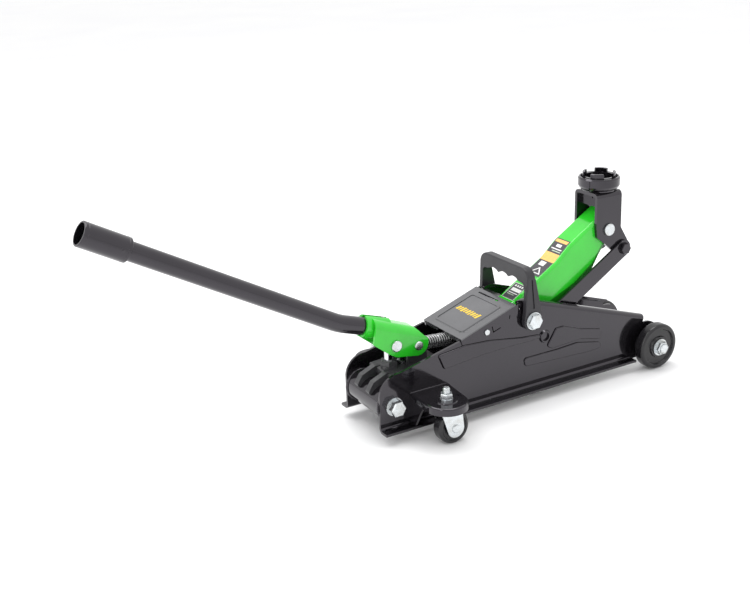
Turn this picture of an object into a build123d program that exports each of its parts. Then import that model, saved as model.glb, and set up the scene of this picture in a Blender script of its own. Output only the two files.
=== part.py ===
"""Compact hydraulic trolley jack, with its lift arm part way up and its pump handle fitted.

Millimetres, +Z up, the floor at Z = 0. +X points to the lifting end, where the saddle and the
front wheels are, and -X to the pump handle. The right side is -Y. The origin is on the floor,
below the middle of the overall length.
"""

import os
from math import cos, radians, sin, sqrt

from build123d import *

os.makedirs("parts", exist_ok=True)


# ---------------------------------------------------------------- driving dimensions

overall_length = 744.0      # handle end to front wheel
body_length = 435.0         # rear edge of the side plates to front wheel
rear_x = overall_length / 2 - body_length

frame_width = 80.0          # over the two side plates
plate_t = 3.0
plate_out = frame_width / 2
plate_in = plate_out - plate_t
flange_out = 13.0           # bottom flange, outwards from the plate
flange_z = 12.7             # underside of the bottom flange
bend_r = 6.0                # outside radius of the folded edges

tie_x = rear_x + 18.7       # rear cross tube and its bolts
tie_z = 42.0
tie_r = 19.0
bolt_r = 6.0

axle_x = rear_x + 405.0     # front wheels
wheel_r = 30.0
wheel_w = 16.0
wheel_in = 46.7             # inner face of a front wheel
axle_r = 6.0

pivot_x = rear_x + 211.5    # lift arm pivot
pivot_z = 105.5
pivot_r = 9.0
fit = 0.05                  # radial running clearance of a shaft in its hole

arm_length = 160.0          # lift arm pivot to saddle bracket pin
arm_angle = 31.0            # lift arm above level, as stored
arm_half = 16.5             # half width over the lift arm's sides
arm_t = 3.0
lever_length = 50.0         # lift arm pivot to ram roller
lever_lead = 7.0            # ram roller ahead of straight down, as stored, in degrees
roller_r = 8.0
spring_arm = 23.9           # lift arm pivot to return spring pin
spring_lag = 10.8           # return spring pin behind straight down, in degrees

link_dx = 23.5              # link pivots, from the lift arm's pivots
link_dz = -28.0
link_t = 3.5
link_in = 21.5              # inner face of a link bar
link_half = 10.5            # half width of a link bar

bracket_half = 21.0         # half width over the saddle bracket's cheeks
bracket_t = 4.0
bracket_top = 235.5
saddle_r = 26.0
saddle_top = 258.5

caster_x = rear_x + 64.0    # swivel stud
caster_y = 80.0
trail = 5.5
caster_r = 20.0
caster_w = 16.0
shelf_z = 53.0
shelf_r = 25.0

socket_x = rear_x + 67.4    # pivot of the handle socket
socket_z = 98.0
plunger_x = rear_x + 37.3
plunger_z = 104.5           # pin that presses the pump plunger
plunger_gap = 0.8           # free play between the plunger and its roller
socket_half = 17.8          # half width over the socket's cheeks
socket_t = 3.0
socket_tilt = 18.0          # slope of the tube inside the socket, in degrees
socket_in_r = 10.8
socket_out_r = 13.3

tube_r = 10.5
tube_wall = 1.5
handle_tilt = 29.5          # slope of the straight part of the handle, in degrees
sleeve_r = 13.5
sleeve_bore_r = 11.4
sleeve_length = 52.0

ram_z = 57.0                # axis of the hydraulic cylinder
ram_r = 9.0
cylinder_r = 13.0
tank_r = 17.0
tank_rear = rear_x + 98.0
tank_front = rear_x + 154.0
gland_front = rear_x + 164.0


# ---------------------------------------------------------------- shared shapes

def on_arm(along, up):
    """A point (x, z) of the lift arm, from its pivot: along the arm and square to it."""
    tilt = radians(arm_angle)
    x = pivot_x + along * cos(tilt) - up * sin(tilt)
    z = pivot_z + along * sin(tilt) + up * cos(tilt)
    return (x, z)


def cross_plane(x, z, y):
    """A sketch plane square to Y, with local x along +X and local y along +Z."""
    return Plane(origin=(x, y, z), x_dir=(1, 0, 0), z_dir=(0, -1, 0))


def hexagon(across_flats):
    """A hexagon drawn in the sketch that is open."""
    RegularPolygon(radius=across_flats / 2, side_count=6, major_radius=False)


bracket_pin_x, bracket_pin_z = on_arm(arm_length, 0)
link_low_x = pivot_x + link_dx
link_low_z = pivot_z + link_dz
link_top_x = bracket_pin_x + link_dx
link_top_z = bracket_pin_z + link_dz
ram_pin_x = pivot_x + lever_length * sin(radians(lever_lead))
spring_pin_x = pivot_x - spring_arm * sin(radians(spring_lag))
spring_pin_z = pivot_z - spring_arm * cos(radians(spring_lag))
both_sides = (-1, 1)


# ---------------------------------------------------------------- side plates

def pressed_rib(height, corner_r, *outline):
    """A rounded rib standing out of the right plate, from (x, z) points round its edge."""
    with BuildPart() as rib:
        with BuildSketch(Plane.XZ.offset(plate_out - 1)):
            with BuildLine():
                FilletPolyline(*[(rear_x + x, z) for x, z in outline], radius=corner_r, close=True)
            make_face()
        extrude(amount=height + 1)
        fillet(rib.faces().sort_by(Axis.Y)[0].edges(), radius=height * 0.7)
    return rib.part


rear_rib = pressed_rib(
    2.0, 2.4, (79, 90), (118, 94), (152, 92), (200, 84.5), (227, 82), (227, 77), (188, 77), (141, 76), (87, 71),
)
upper_rib = pressed_rib(
    2.0, 4.0, (238, 63), (252, 84.5), (264, 84.5), (290, 75), (325, 67), (324, 53.5), (290, 61), (246, 59),
)
lower_rib = pressed_rib(
    1.8, 4.0, (203, 56), (256, 56), (286, 57.5), (322, 50), (328, 42), (306, 40.5), (205, 45),
)

nose_r = wheel_r - flange_z
top_front = (rear_x + 398.0, 68.6)
top_peak = (rear_x + 205.6, 131.8)
top_rear = (rear_x + 196.0, 128.6)
flange_end = rear_x + 375.0
web_drop = 9.5
flange_lip = 31.5           # inner edge of the top flange

with BuildPart() as side_plate_right:
    with BuildSketch(Plane.XZ.offset(plate_in)):
        with BuildLine():
            Polyline(
                (rear_x, 57),
                (rear_x, flange_z + bend_r),
                (flange_end, flange_z + bend_r),
                (flange_end, flange_z),
                (axle_x, flange_z),
            )
            nose = RadiusArc((axle_x, flange_z), (axle_x + nose_r, wheel_r), -nose_r)
            Line(nose @ 1, (axle_x + nose_r, 46))
            shoulder = RadiusArc((axle_x + nose_r, 46), (top_front[0], top_front[1] - web_drop), -24)
            FilletPolyline(
                shoulder @ 1,
                (top_peak[0], top_peak[1] - web_drop),
                (top_rear[0], top_rear[1] - web_drop),
                radius=28,
            )
            Polyline(
                (top_rear[0], top_rear[1] - web_drop),
                (top_rear[0], top_rear[1]),
                (rear_x + 112, 100.2),
                (rear_x + 115.2, 91.5),
                (rear_x + 114, 91.1),
                (rear_x + 110.8, 99.8),
                (rear_x + 28, 80.8),
            )
            ThreePointArc((rear_x + 28, 80.8), (rear_x + 6.5, 72), (rear_x, 57))
        make_face()
    extrude(amount=plate_t)
    # top flange in front of the cover, folded inwards
    with BuildLine(Plane.XZ) as top_edge:
        FilletPolyline(top_rear, top_peak, top_front, radius=28)
    with BuildSketch(Plane(origin=top_edge.line @ 0, x_dir=(0, 1, 0), z_dir=top_edge.line % 0)):
        with BuildLine():
            Line((-flange_lip, 0), (-plate_out + bend_r, 0))
            RadiusArc((-plate_out + bend_r, 0), (-plate_out, -bend_r), -bend_r)
            Polyline(
                (-plate_out, -bend_r),
                (-plate_out, -bend_r - 10),
                (-plate_in, -bend_r - 10),
                (-plate_in, -bend_r),
            )
            RadiusArc((-plate_in, -bend_r), (-plate_out + bend_r, -plate_t), bend_r - plate_t)
            Polyline((-plate_out + bend_r, -plate_t), (-flange_lip, -plate_t), (-flange_lip, 0))
        make_face()
    sweep(path=top_edge.line)
    # bottom flange, folded outwards
    with BuildSketch(Plane.YZ.offset(rear_x)):
        with BuildLine():
            Line((-plate_in, 30), (-plate_in, flange_z + bend_r))
            RadiusArc((-plate_in, flange_z + bend_r), (-plate_in - bend_r, flange_z), bend_r)
            Polyline(
                (-plate_in - bend_r, flange_z),
                (-plate_out - flange_out, flange_z),
                (-plate_out - flange_out, flange_z + plate_t),
                (-plate_in - bend_r, flange_z + plate_t),
            )
            RadiusArc(
                (-plate_in - bend_r, flange_z + plate_t),
                (-plate_out, flange_z + bend_r),
                plate_t - bend_r,
            )
            Polyline((-plate_out, flange_z + bend_r), (-plate_out, 30), (-plate_in, 30))
        make_face()
    extrude(amount=flange_end - rear_x)
    # pressed stiffening ribs
    add(rear_rib)
    add(upper_rib)
    add(lower_rib)
    # rivet swellings round the link pins
    with BuildSketch(cross_plane(link_low_x, link_low_z, -plate_out)):
        Circle(8.5)
    extrude(amount=2.4, taper=30)
    # holes for the tie bolt, front axle, arm pivot, link pin and cover screw
    with BuildSketch(Plane.XZ.offset(plate_in - 1)):
        with Locations((tie_x, tie_z)):
            Circle(bolt_r + 0.2)
        with Locations((axle_x, wheel_r)):
            Circle(axle_r + 0.1)
        with Locations((pivot_x, pivot_z)):
            Circle(pivot_r)
        with Locations((link_low_x, link_low_z)):
            Circle(5.5)
        with Locations((rear_x + 148.7, 102.7)):
            Circle(2.1)
        with Locations((rear_x + 157.4, 104.4)):
            SlotOverall(8, 1.2, rotation=105)
        with Locations((rear_x + 163.2, 102.2)):
            SlotOverall(12, 1.2, rotation=18)
        with Locations((rear_x + 182, 114.5)):
            SlotOverall(5, 1.2, rotation=80)
    extrude(amount=plate_t + 6, mode=Mode.SUBTRACT)
side_plate_right.part.label = "side_plate_right"
export_step(side_plate_right.part, "parts/side_plate_right.step")

with BuildPart() as side_plate_left:
    add(mirror(side_plate_right.part, about=Plane.XZ, mode=Mode.PRIVATE))
side_plate_left.part.label = "side_plate_left"
export_step(side_plate_left.part, "parts/side_plate_left.step")


# ---------------------------------------------------------------- rear cross tube and bolts

with BuildPart() as rear_cross_tube:
    with BuildSketch(Plane.XZ.offset(-plate_in)):
        with Locations((tie_x, tie_z)):
            Circle(tie_r)
            Circle(bolt_r, mode=Mode.SUBTRACT)
    extrude(amount=2 * plate_in)
    # weld beads where the tube meets the side plates
    for side in both_sides:
        with Locations(Location((tie_x, side * (plate_in - 1.7), tie_z), (90, 0, 0))):
            Torus(tie_r, 1.7)
rear_cross_tube.part.label = "rear_cross_tube"
export_step(rear_cross_tube.part, "parts/rear_cross_tube.step")

with BuildPart() as rear_bolts:
    for side in both_sides:
        with BuildSketch(cross_plane(tie_x, tie_z, side * (plate_out + 4.6))):
            hexagon(17)
        extrude(amount=-side * 7.5)
        with BuildSketch(cross_plane(tie_x, tie_z, side * (plate_out + 4.6))):
            Circle(bolt_r - fit)
        extrude(amount=side * 36)
    crowns = rear_bolts.edges().filter_by(lambda e: abs(abs(e.center().Y) - plate_out - 12.1) < 0.01)
    chamfer(crowns, length=1)
rear_bolts.part.label = "rear_bolts"
export_step(rear_bolts.part, "parts/rear_bolts.step")



# ---------------------------------------------------------------- front axle and wheels

wheel_out = wheel_in + wheel_w

with BuildPart() as front_axle:
    with BuildSketch(cross_plane(axle_x, wheel_r, wheel_out + 9)):
        Circle(axle_r)
    extrude(amount=2 * (wheel_out + 9))
    chamfer(front_axle.edges().filter_by(GeomType.CIRCLE), length=1)
front_axle.part.label = "front_axle"
export_step(front_axle.part, "parts/front_axle.step")

with BuildPart() as front_axle_collars:
    for side in both_sides:
        with BuildSketch(cross_plane(axle_x, wheel_r, side * plate_out)):
            Circle(10)
            Circle(axle_r, mode=Mode.SUBTRACT)
        extrude(amount=-side * (wheel_in - plate_out - 0.3))
front_axle_collars.part.label = "front_axle_collars"
export_step(front_axle_collars.part, "parts/front_axle_collars.step")

with BuildPart() as front_wheel_right:
    with BuildSketch(Plane(origin=(axle_x, 0, wheel_r))):
        with BuildLine():
            Polyline(
                (axle_r + fit, -wheel_in),
                (wheel_r, -wheel_in),
                (wheel_r, -wheel_out),
                (24, -wheel_out),
                (22.5, -wheel_out + 2.5),
                (14.5, -wheel_out + 2.5),
                (13.5, -wheel_out + 0.6),
                (axle_r + fit, -wheel_out + 0.6),
                (axle_r + fit, -wheel_in),
            )
        make_face()
    revolve(axis=Axis((axle_x, 0, wheel_r), (0, 1, 0)))
    tread = front_wheel_right.edges().filter_by(GeomType.CIRCLE).group_by(SortBy.RADIUS)[-1]
    fillet(tread, radius=4)
front_wheel_right.part.label = "front_wheel_right"
export_step(front_wheel_right.part, "parts/front_wheel_right.step")

with BuildPart() as front_wheel_left:
    add(mirror(front_wheel_right.part, about=Plane.XZ, mode=Mode.PRIVATE))
front_wheel_left.part.label = "front_wheel_left"
export_step(front_wheel_left.part, "parts/front_wheel_left.step")

with BuildPart() as front_axle_nuts:
    for side in both_sides:
        with BuildSketch(cross_plane(axle_x, wheel_r, side * (wheel_out + 1.3))):
            hexagon(15.5)
            Circle(axle_r, mode=Mode.SUBTRACT)
        extrude(amount=-side * 6)
    outer_edges = front_axle_nuts.edges().filter_by(lambda e: abs(e.center().Y) > wheel_out + 7)
    chamfer(outer_edges, length=0.8)
front_axle_nuts.part.label = "front_axle_nuts"
export_step(front_axle_nuts.part, "parts/front_axle_nuts.step")


# ---------------------------------------------------------------- cover over the hydraulic unit

cover_rear = (rear_x + 112.0, 102.0)
cover_front = (rear_x + 190.2, 128.6)
cover_t = 1.6
cover_run = (cover_front[0] - cover_rear[0], cover_front[1] - cover_rear[1])
cover_length = sqrt(cover_run[0] ** 2 + cover_run[1] ** 2)
cover_plane = Plane(
    origin=(cover_rear[0], 0, cover_rear[1]),
    x_dir=(cover_run[0], 0, cover_run[1]),
    z_dir=(-cover_run[1], 0, cover_run[0]),
)
cover_middle = cover_length / 2
tab_y = plate_in - 1.6

with BuildPart() as cover_plate:
    with BuildSketch(cover_plane):
        with Locations((cover_middle, 0)):
            Rectangle(cover_length, frame_width + 0.6)
    extrude(amount=-cover_t)
    # raised panel
    with BuildSketch(cover_plane):
        with Locations((cover_middle - 2, 0)):
            RectangleRounded(62, 60, 5)
    extrude(amount=1.5, taper=35)
    with BuildSketch(cover_plane.offset(1.5)):
        with Locations((cover_middle - 2, 0)):
            RectangleRounded(56, 54, 3.5)
    extrude(amount=-0.7, mode=Mode.SUBTRACT)
    # drain slot in front of the panel
    with BuildSketch(cover_plane.offset(2)):
        with Locations((cover_length - 6.5, 6)):
            SlotOverall(40, 2.4, rotation=90)
    extrude(amount=-5, mode=Mode.SUBTRACT)
    # side tabs inside the plates, and the folded rear lip either side of the return spring
    for side in both_sides:
        with BuildSketch(Plane.XZ.offset(-side * tab_y - (0 if side > 0 else 1.5))):
            with BuildLine():
                Polyline(
                    (rear_x + 128, 106), (rear_x + 176, 122.3), (rear_x + 172, 108),
                    (rear_x + 158, 96), (rear_x + 138, 93), (rear_x + 128, 106),
                )
            make_face()
        extrude(amount=1.5)
        with BuildSketch(cross_plane(cover_rear[0], cover_rear[1], 24.5 * side + 11)):
            with BuildLine():
                Polyline((0, -0.4), (2, -6), (3.5, -5.5), (2.4, -0.4), (0, -0.4))
            make_face()
        extrude(amount=22)
    # screw holes in the tabs
    with BuildSketch(cross_plane(rear_x + 148.7, 102.7, plate_in)):
        Circle(2)
    extrude(amount=2 * plate_in, mode=Mode.SUBTRACT)
cover_plate.part.label = "cover_plate"
export_step(cover_plate.part, "parts/cover_plate.step")

with BuildPart() as cover_screws:
    for side in both_sides:
        with BuildSketch(cross_plane(rear_x + 148.7, 102.7, side * plate_out)):
            Circle(3.6)
        extrude(amount=-side * 2)
        with BuildSketch(cross_plane(rear_x + 148.7, 102.7, side * plate_out)):
            Circle(1.95)
        extrude(amount=side * 9)
    rims = cover_screws.edges().filter_by(lambda e: abs(e.center().Y) > plate_out + 1.9)
    fillet(rims, radius=1)
cover_screws.part.label = "cover_screws"
export_step(cover_screws.part, "parts/cover_screws.step")


# ---------------------------------------------------------------- casters

axle_cx = caster_x + trail
fork_in = caster_w / 2 + 0.6
fork_t = 2.0
fork_top = 44.2

with BuildPart() as caster_bracket_right:
    # shelf with a rounded outer end
    with BuildSketch(Plane.XY.offset(shelf_z)):
        with BuildLine():
            Line((caster_x - shelf_r, -caster_y), (caster_x - shelf_r, -plate_out))
            Line((caster_x - shelf_r, -plate_out), (caster_x + shelf_r + 4, -plate_out))
            Line((caster_x + shelf_r + 4, -plate_out), (caster_x + shelf_r, -caster_y))
            RadiusArc((caster_x + shelf_r, -caster_y), (caster_x - shelf_r, -caster_y), shelf_r)
        make_face()
    extrude(amount=-9)
    with BuildSketch(Plane.XY.offset(shelf_z - 3)):
        with BuildLine():
            Line((caster_x - shelf_r + 2.5, -caster_y), (caster_x - shelf_r + 2.5, -plate_out))
            Line((caster_x - shelf_r + 2.5, -plate_out), (caster_x + shelf_r + 1.5, -plate_out))
            Line((caster_x + shelf_r + 1.5, -plate_out), (caster_x + shelf_r - 2.5, -caster_y))
            RadiusArc(
                (caster_x + shelf_r - 2.5, -caster_y),
                (caster_x - shelf_r + 2.5, -caster_y),
                shelf_r - 2.5,
            )
        make_face()
    extrude(amount=-9, mode=Mode.SUBTRACT)
    top_rim = caster_bracket_right.faces().sort_by(Axis.Z)[-1].edges()
    fillet(top_rim.filter_by(lambda e: e.center().Y < -plate_out - 1), radius=2.4)
    # raised seat for the swivel stud
    with BuildSketch(Plane.XY.offset(shelf_z)):
        with Locations((caster_x, -caster_y)):
            Circle(13)
    extrude(amount=1.2, taper=30)
    # rear gusset down to the bottom flange
    with BuildSketch(Plane.YZ.offset(caster_x - shelf_r)):
        with BuildLine():
            Polyline(
                (-plate_out, shelf_z - 2),
                (-plate_out, flange_z + bend_r + 1),
                (-plate_out - 12, flange_z + plate_t),
            )
            ThreePointArc(
                (-plate_out - 12, flange_z + plate_t), (-58, 27), (-74, shelf_z - 2)
            )
            Line((-74, shelf_z - 2), (-plate_out, shelf_z - 2))
        make_face()
    extrude(amount=3)
    with BuildSketch(Plane.XY.offset(shelf_z + 3)):
        with Locations((caster_x, -caster_y)):
            Circle(4)
    extrude(amount=-10, mode=Mode.SUBTRACT)
caster_bracket_right.part.label = "caster_bracket_right"
export_step(caster_bracket_right.part, "parts/caster_bracket_right.step")

with BuildPart() as caster_bracket_left:
    add(mirror(caster_bracket_right.part, about=Plane.XZ, mode=Mode.PRIVATE))
caster_bracket_left.part.label = "caster_bracket_left"
export_step(caster_bracket_left.part, "parts/caster_bracket_left.step")

with BuildPart() as caster_studs:
    for side in both_sides:
        with BuildSketch(Plane.XY.offset(41)):
            with Locations((caster_x, side * caster_y)):
                Circle(7)
        extrude(amount=1.6)
        with BuildSketch(Plane.XY.offset(41)):
            with Locations((caster_x, side * caster_y)):
                Circle(4)
        extrude(amount=28)
    chamfer(caster_studs.edges().group_by(Axis.Z)[-1], length=0.8)
caster_studs.part.label = "caster_studs"
export_step(caster_studs.part, "parts/caster_studs.step")

with BuildPart() as washers:
    for side in both_sides:
        # plain and lock washer under each rear bolt
        with BuildSketch(cross_plane(tie_x, tie_z, side * plate_out)):
            Circle(11)
            Circle(bolt_r + 0.2, mode=Mode.SUBTRACT)
        extrude(amount=-side * 1.8)
        with BuildSketch(cross_plane(tie_x, tie_z, side * (plate_out + 1.85))):
            Circle(9.2)
            Circle(bolt_r + 0.2, mode=Mode.SUBTRACT)
            with Locations((7.6, 0)):
                Rectangle(4, 1.2, mode=Mode.SUBTRACT)
        extrude(amount=-side * 2.75)
        # outside each front wheel
        with BuildSketch(cross_plane(axle_x, wheel_r, side * (wheel_out - 0.3))):
            Circle(11)
            Circle(axle_r, mode=Mode.SUBTRACT)
        extrude(amount=-side * 1.6)
        # under each swivel stud's nut
        with BuildSketch(Plane.XY.offset(shelf_z + 1.2)):
            with Locations((caster_x, side * caster_y)):
                Circle(7.5)
                Circle(4, mode=Mode.SUBTRACT)
        extrude(amount=1.6)
washers.part.label = "washers"
export_step(washers.part, "parts/washers.step")

with BuildPart() as caster_nuts:
    for side in both_sides:
        with BuildSketch(Plane.XY.offset(shelf_z + 2.8)):
            with Locations((caster_x, side * caster_y)):
                hexagon(13)
                Circle(4, mode=Mode.SUBTRACT)
        extrude(amount=6.5)
    chamfer(caster_nuts.edges().group_by(Axis.Z)[-1], length=0.7)
caster_nuts.part.label = "caster_nuts"
export_step(caster_nuts.part, "parts/caster_nuts.step")

ball_r = 0.95
ball_z = fork_top + 3.2
with BuildPart() as caster_bearings:
    for side in both_sides:
        with BuildSketch(Plane(origin=(caster_x, side * caster_y, 0), x_dir=(1, 0, 0), z_dir=(0, -1, 0))):
            with BuildLine():
                Polyline(
                    (4, shelf_z - 3),
                    (14, shelf_z - 3),
                    (14, shelf_z - 5.2),
                    (9.4, shelf_z - 4.6),
                    (4, shelf_z - 4.6),
                    (4, shelf_z - 3),
                )
            make_face()
        revolve(axis=Axis((caster_x, side * caster_y, 0), (0, 0, 1)))
        with Locations((caster_x, side * caster_y, ball_z)):
            with PolarLocations(7.4, 14):
                Sphere(ball_r)
caster_bearings.part.label = "caster_bearings"
export_step(caster_bearings.part, "parts/caster_bearings.step")

with BuildPart() as caster_fork_right:
    with BuildSketch(Plane.XY.offset(fork_top)):
        with Locations((caster_x, -caster_y)):
            Circle(15)
            Circle(4.3, mode=Mode.SUBTRACT)
    extrude(amount=1.8)
    for side in both_sides:
        with BuildSketch(cross_plane(caster_x, caster_r, -caster_y + side * (fork_in + fork_t / 2) + fork_t / 2)):
            with BuildLine():
                Line((-14, fork_top - caster_r + 1), (14, fork_top - caster_r + 1))
                Line((14, fork_top - caster_r + 1), (trail + 10.8, 2))
                ThreePointArc((trail + 10.8, 2), (trail - 2, -10.8), (trail - 10.4, -3))
                Line((trail - 10.4, -3), (-14, fork_top - caster_r + 1))
            make_face()
        extrude(amount=fork_t)
    with BuildSketch(cross_plane(axle_cx, caster_r, -caster_y + 14)):
        Circle(3)
    extrude(amount=28, mode=Mode.SUBTRACT)
caster_fork_right.part.label = "caster_fork_right"
export_step(caster_fork_right.part, "parts/caster_fork_right.step")

with BuildPart() as caster_fork_left:
    add(mirror(caster_fork_right.part, about=Plane.XZ, mode=Mode.PRIVATE))
caster_fork_left.part.label = "caster_fork_left"
export_step(caster_fork_left.part, "parts/caster_fork_left.step")

with BuildPart() as caster_axle_right:
    with BuildSketch(cross_plane(axle_cx, caster_r, -caster_y + fork_in + fork_t)):
        Circle(3)
    extrude(amount=2 * (fork_in + fork_t))
    for side in both_sides:
        with BuildSketch(cross_plane(axle_cx, caster_r, -caster_y + side * (fork_in + fork_t))):
            Circle(5)
        extrude(amount=-side * 1.8)
    rims = caster_axle_right.edges().filter_by(
        lambda e: abs(e.center().Y + caster_y) > fork_in + fork_t + 1
    )
    fillet(rims, radius=1.2)
caster_axle_right.part.label = "caster_axle_right"
export_step(caster_axle_right.part, "parts/caster_axle_right.step")

with BuildPart() as caster_axle_left:
    add(mirror(caster_axle_right.part, about=Plane.XZ, mode=Mode.PRIVATE))
caster_axle_left.part.label = "caster_axle_left"
export_step(caster_axle_left.part, "parts/caster_axle_left.step")

with BuildPart() as caster_wheel_right:
    with BuildSketch(Plane(origin=(axle_cx, -caster_y, caster_r))):
        with BuildLine():
            Polyline(
                (3 + fit, -caster_w / 2),
                (8, -caster_w / 2),
                (9, -caster_w / 2 + 1.5),
                (15, -caster_w / 2 + 1.5),
                (16, -caster_w / 2 + 0.4),
                (caster_r, -caster_w / 2 + 0.4),
                (caster_r, caster_w / 2 - 0.4),
                (16, caster_w / 2 - 0.4),
                (15, caster_w / 2 - 1.5),
                (9, caster_w / 2 - 1.5),
                (8, caster_w / 2),
                (3 + fit, caster_w / 2),
                (3 + fit, -caster_w / 2),
            )
        make_face()
    revolve(axis=Axis((axle_cx, -caster_y, caster_r), (0, 1, 0)))
    tread = caster_wheel_right.edges().filter_by(GeomType.CIRCLE).group_by(SortBy.RADIUS)[-1]
    fillet(tread, radius=3)
caster_wheel_right.part.label = "caster_wheel_right"
export_step(caster_wheel_right.part, "parts/caster_wheel_right.step")

with BuildPart() as caster_wheel_left:
    add(mirror(caster_wheel_right.part, about=Plane.XZ, mode=Mode.PRIVATE))
caster_wheel_left.part.label = "caster_wheel_left"
export_step(caster_wheel_left.part, "parts/caster_wheel_left.step")


# ---------------------------------------------------------------- hydraulic unit

plunger_r = 6.0
block_half = 25.0
boss_top = 76.0
pump_gland_top = 82.0
plunger_top = plunger_z - 7 - plunger_gap
anchor_x = rear_x + 75.0    # rear end of the return spring
anchor_z = 91.8
plug_x = rear_x + 53.5
valve_x = rear_x + 54.0
valve_y = 18.5
ball_pockets = ((rear_x + 60, 37), (rear_x + 72, 37), (rear_x + 84, 36))

with BuildPart() as pump_block:
    with BuildSketch(Plane.XZ.offset(-block_half)):
        with BuildLine():
            FilletPolyline(
                (rear_x + 25, 64),
                (rear_x + 25, 72),
                (tank_rear, 76),
                (tank_rear, 31),
                (rear_x + 44, 27),
                (rear_x + 34, 40),
                (rear_x + 34, 64),
                radius=2,
                close=True,
            )
        make_face()
    extrude(amount=2 * block_half)
    # hooks over the cross tube
    for y in (-17, 9):
        with BuildSketch(cross_plane(rear_x, 0, y + 8)):
            with BuildLine():
                FilletPolyline(
                    (36, 72), (24, 73.5), (6, 66), (-1, 55), (3, 50), (20, 58), (36, 62),
                    radius=2.5, close=True,
                )
            make_face()
        extrude(amount=8)
    # pump boss
    with BuildSketch(Plane.XY.offset(62)):
        with Locations((plunger_x, 0)):
            Circle(10)
    extrude(amount=boss_top - 62)
    # ears for the socket pivot and the spring anchor
    for y in (-11, 7):
        with BuildSketch(cross_plane(rear_x, 0, y + 4)):
            with BuildLine():
                FilletPolyline(
                    (56, 70), (58, 104), (66, 107), (76, 104), (82, 94), (84, 70),
                    radius=3, close=True,
                )
            make_face()
        extrude(amount=4)
    with BuildSketch(cross_plane(0, 0, block_half + 1)):
        with Locations((tie_x, tie_z)):
            Circle(tie_r)
        with Locations((socket_x, socket_z)):
            Circle(4 + fit)
        with Locations((anchor_x, anchor_z)):
            Circle(2.5)
    extrude(amount=2 * block_half + 2, mode=Mode.SUBTRACT)
    # pump bore and seal groove
    with BuildSketch(Plane.XY.offset(56.8)):
        with Locations((plunger_x, 0)):
            Circle(plunger_r + fit)
    extrude(amount=30, mode=Mode.SUBTRACT)
    with BuildSketch(Plane.XY.offset(boss_top - 3)):
        with Locations((plunger_x, 0)):
            Circle(8)
    extrude(amount=4, mode=Mode.SUBTRACT)
    # seat of the cylinder tube
    with BuildSketch(Plane.YZ.offset(rear_x + 80)):
        with Locations((0, ram_z)):
            Circle(cylinder_r)
    extrude(amount=30, mode=Mode.SUBTRACT)
    # filler and release valve holes
    with BuildSketch(Plane.XY.offset(60)):
        with Locations((plug_x, 0)):
            Circle(3)
        with Locations((valve_x, valve_y)):
            Circle(3.5)
    extrude(amount=30, mode=Mode.SUBTRACT)
    with Locations(*[(x, 0, z) for x, z in ball_pockets]):
        Sphere(3.1, mode=Mode.SUBTRACT)
pump_block.part.label = "pump_block"
export_step(pump_block.part, "parts/pump_block.step")

with BuildPart() as pump_gland:
    with BuildSketch(Plane.XY.offset(boss_top)):
        with Locations((plunger_x, 0)):
            hexagon(18)
            Circle(plunger_r + fit, mode=Mode.SUBTRACT)
    extrude(amount=pump_gland_top - boss_top)
    chamfer(pump_gland.edges().group_by(Axis.Z)[-1].filter_by(GeomType.LINE), length=0.8)
pump_gland.part.label = "pump_gland"
export_step(pump_gland.part, "parts/pump_gland.step")

with BuildPart() as pump_seal:
    with BuildSketch(Plane.XY.offset(boss_top - 3)):
        with Locations((plunger_x, 0)):
            Circle(8)
            Circle(plunger_r + fit, mode=Mode.SUBTRACT)
    extrude(amount=3)
pump_seal.part.label = "pump_seal"
export_step(pump_seal.part, "parts/pump_seal.step")

with BuildPart() as pump_plunger:
    with BuildSketch(Plane.XY.offset(67.5)):
        with Locations((plunger_x, 0)):
            Circle(plunger_r)
    extrude(amount=plunger_top - 3 - 67.5)
    with BuildSketch(Plane.XY.offset(plunger_top - 3)):
        with Locations((plunger_x + 1, 0)):
            Circle(8)
    extrude(amount=3)
    chamfer(pump_plunger.edges().group_by(Axis.Z)[-1], length=0.6)
pump_plunger.part.label = "pump_plunger"
export_step(pump_plunger.part, "parts/pump_plunger.step")

with BuildPart() as check_balls:
    with Locations(*[(x, 0, z) for x, z in ball_pockets]):
        Sphere(2.6)
check_balls.part.label = "check_balls"
export_step(check_balls.part, "parts/check_balls.step")

plug_seat = 72.4
with BuildPart() as filler_plug:
    with BuildSketch(Plane.XY.offset(plug_seat + 1.6)):
        with Locations((plug_x, 0)):
            hexagon(9)
    extrude(amount=4)
    chamfer(filler_plug.edges().group_by(Axis.Z)[-1], length=0.6)
    with BuildSketch(Plane.XY.offset(62)):
        with Locations((plug_x, 0)):
            Circle(3 - fit)
    extrude(amount=12)
filler_plug.part.label = "filler_plug"
export_step(filler_plug.part, "parts/filler_plug.step")

with BuildPart() as release_gland:
    with BuildSketch(Plane.XY.offset(75.5)):
        with Locations((valve_x, valve_y)):
            hexagon(11)
            Circle(3 + fit, mode=Mode.SUBTRACT)
    extrude(amount=4)
release_gland.part.label = "release_gland"
export_step(release_gland.part, "parts/release_gland.step")

with BuildPart() as release_valve:
    with BuildSketch(Plane.XY.offset(61)):
        with Locations((valve_x, valve_y)):
            Circle(3)
    extrude(amount=20)
release_valve.part.label = "release_valve"
export_step(release_valve.part, "parts/release_valve.step")

with BuildPart() as cylinder_tube:
    with BuildSketch(Plane.YZ.offset(rear_x + 80)):
        with Locations((0, ram_z)):
            Circle(cylinder_r)
            Circle(10 + fit, mode=Mode.SUBTRACT)
    extrude(amount=tank_front - rear_x - 80)
cylinder_tube.part.label = "cylinder_tube"
export_step(cylinder_tube.part, "parts/cylinder_tube.step")

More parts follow.
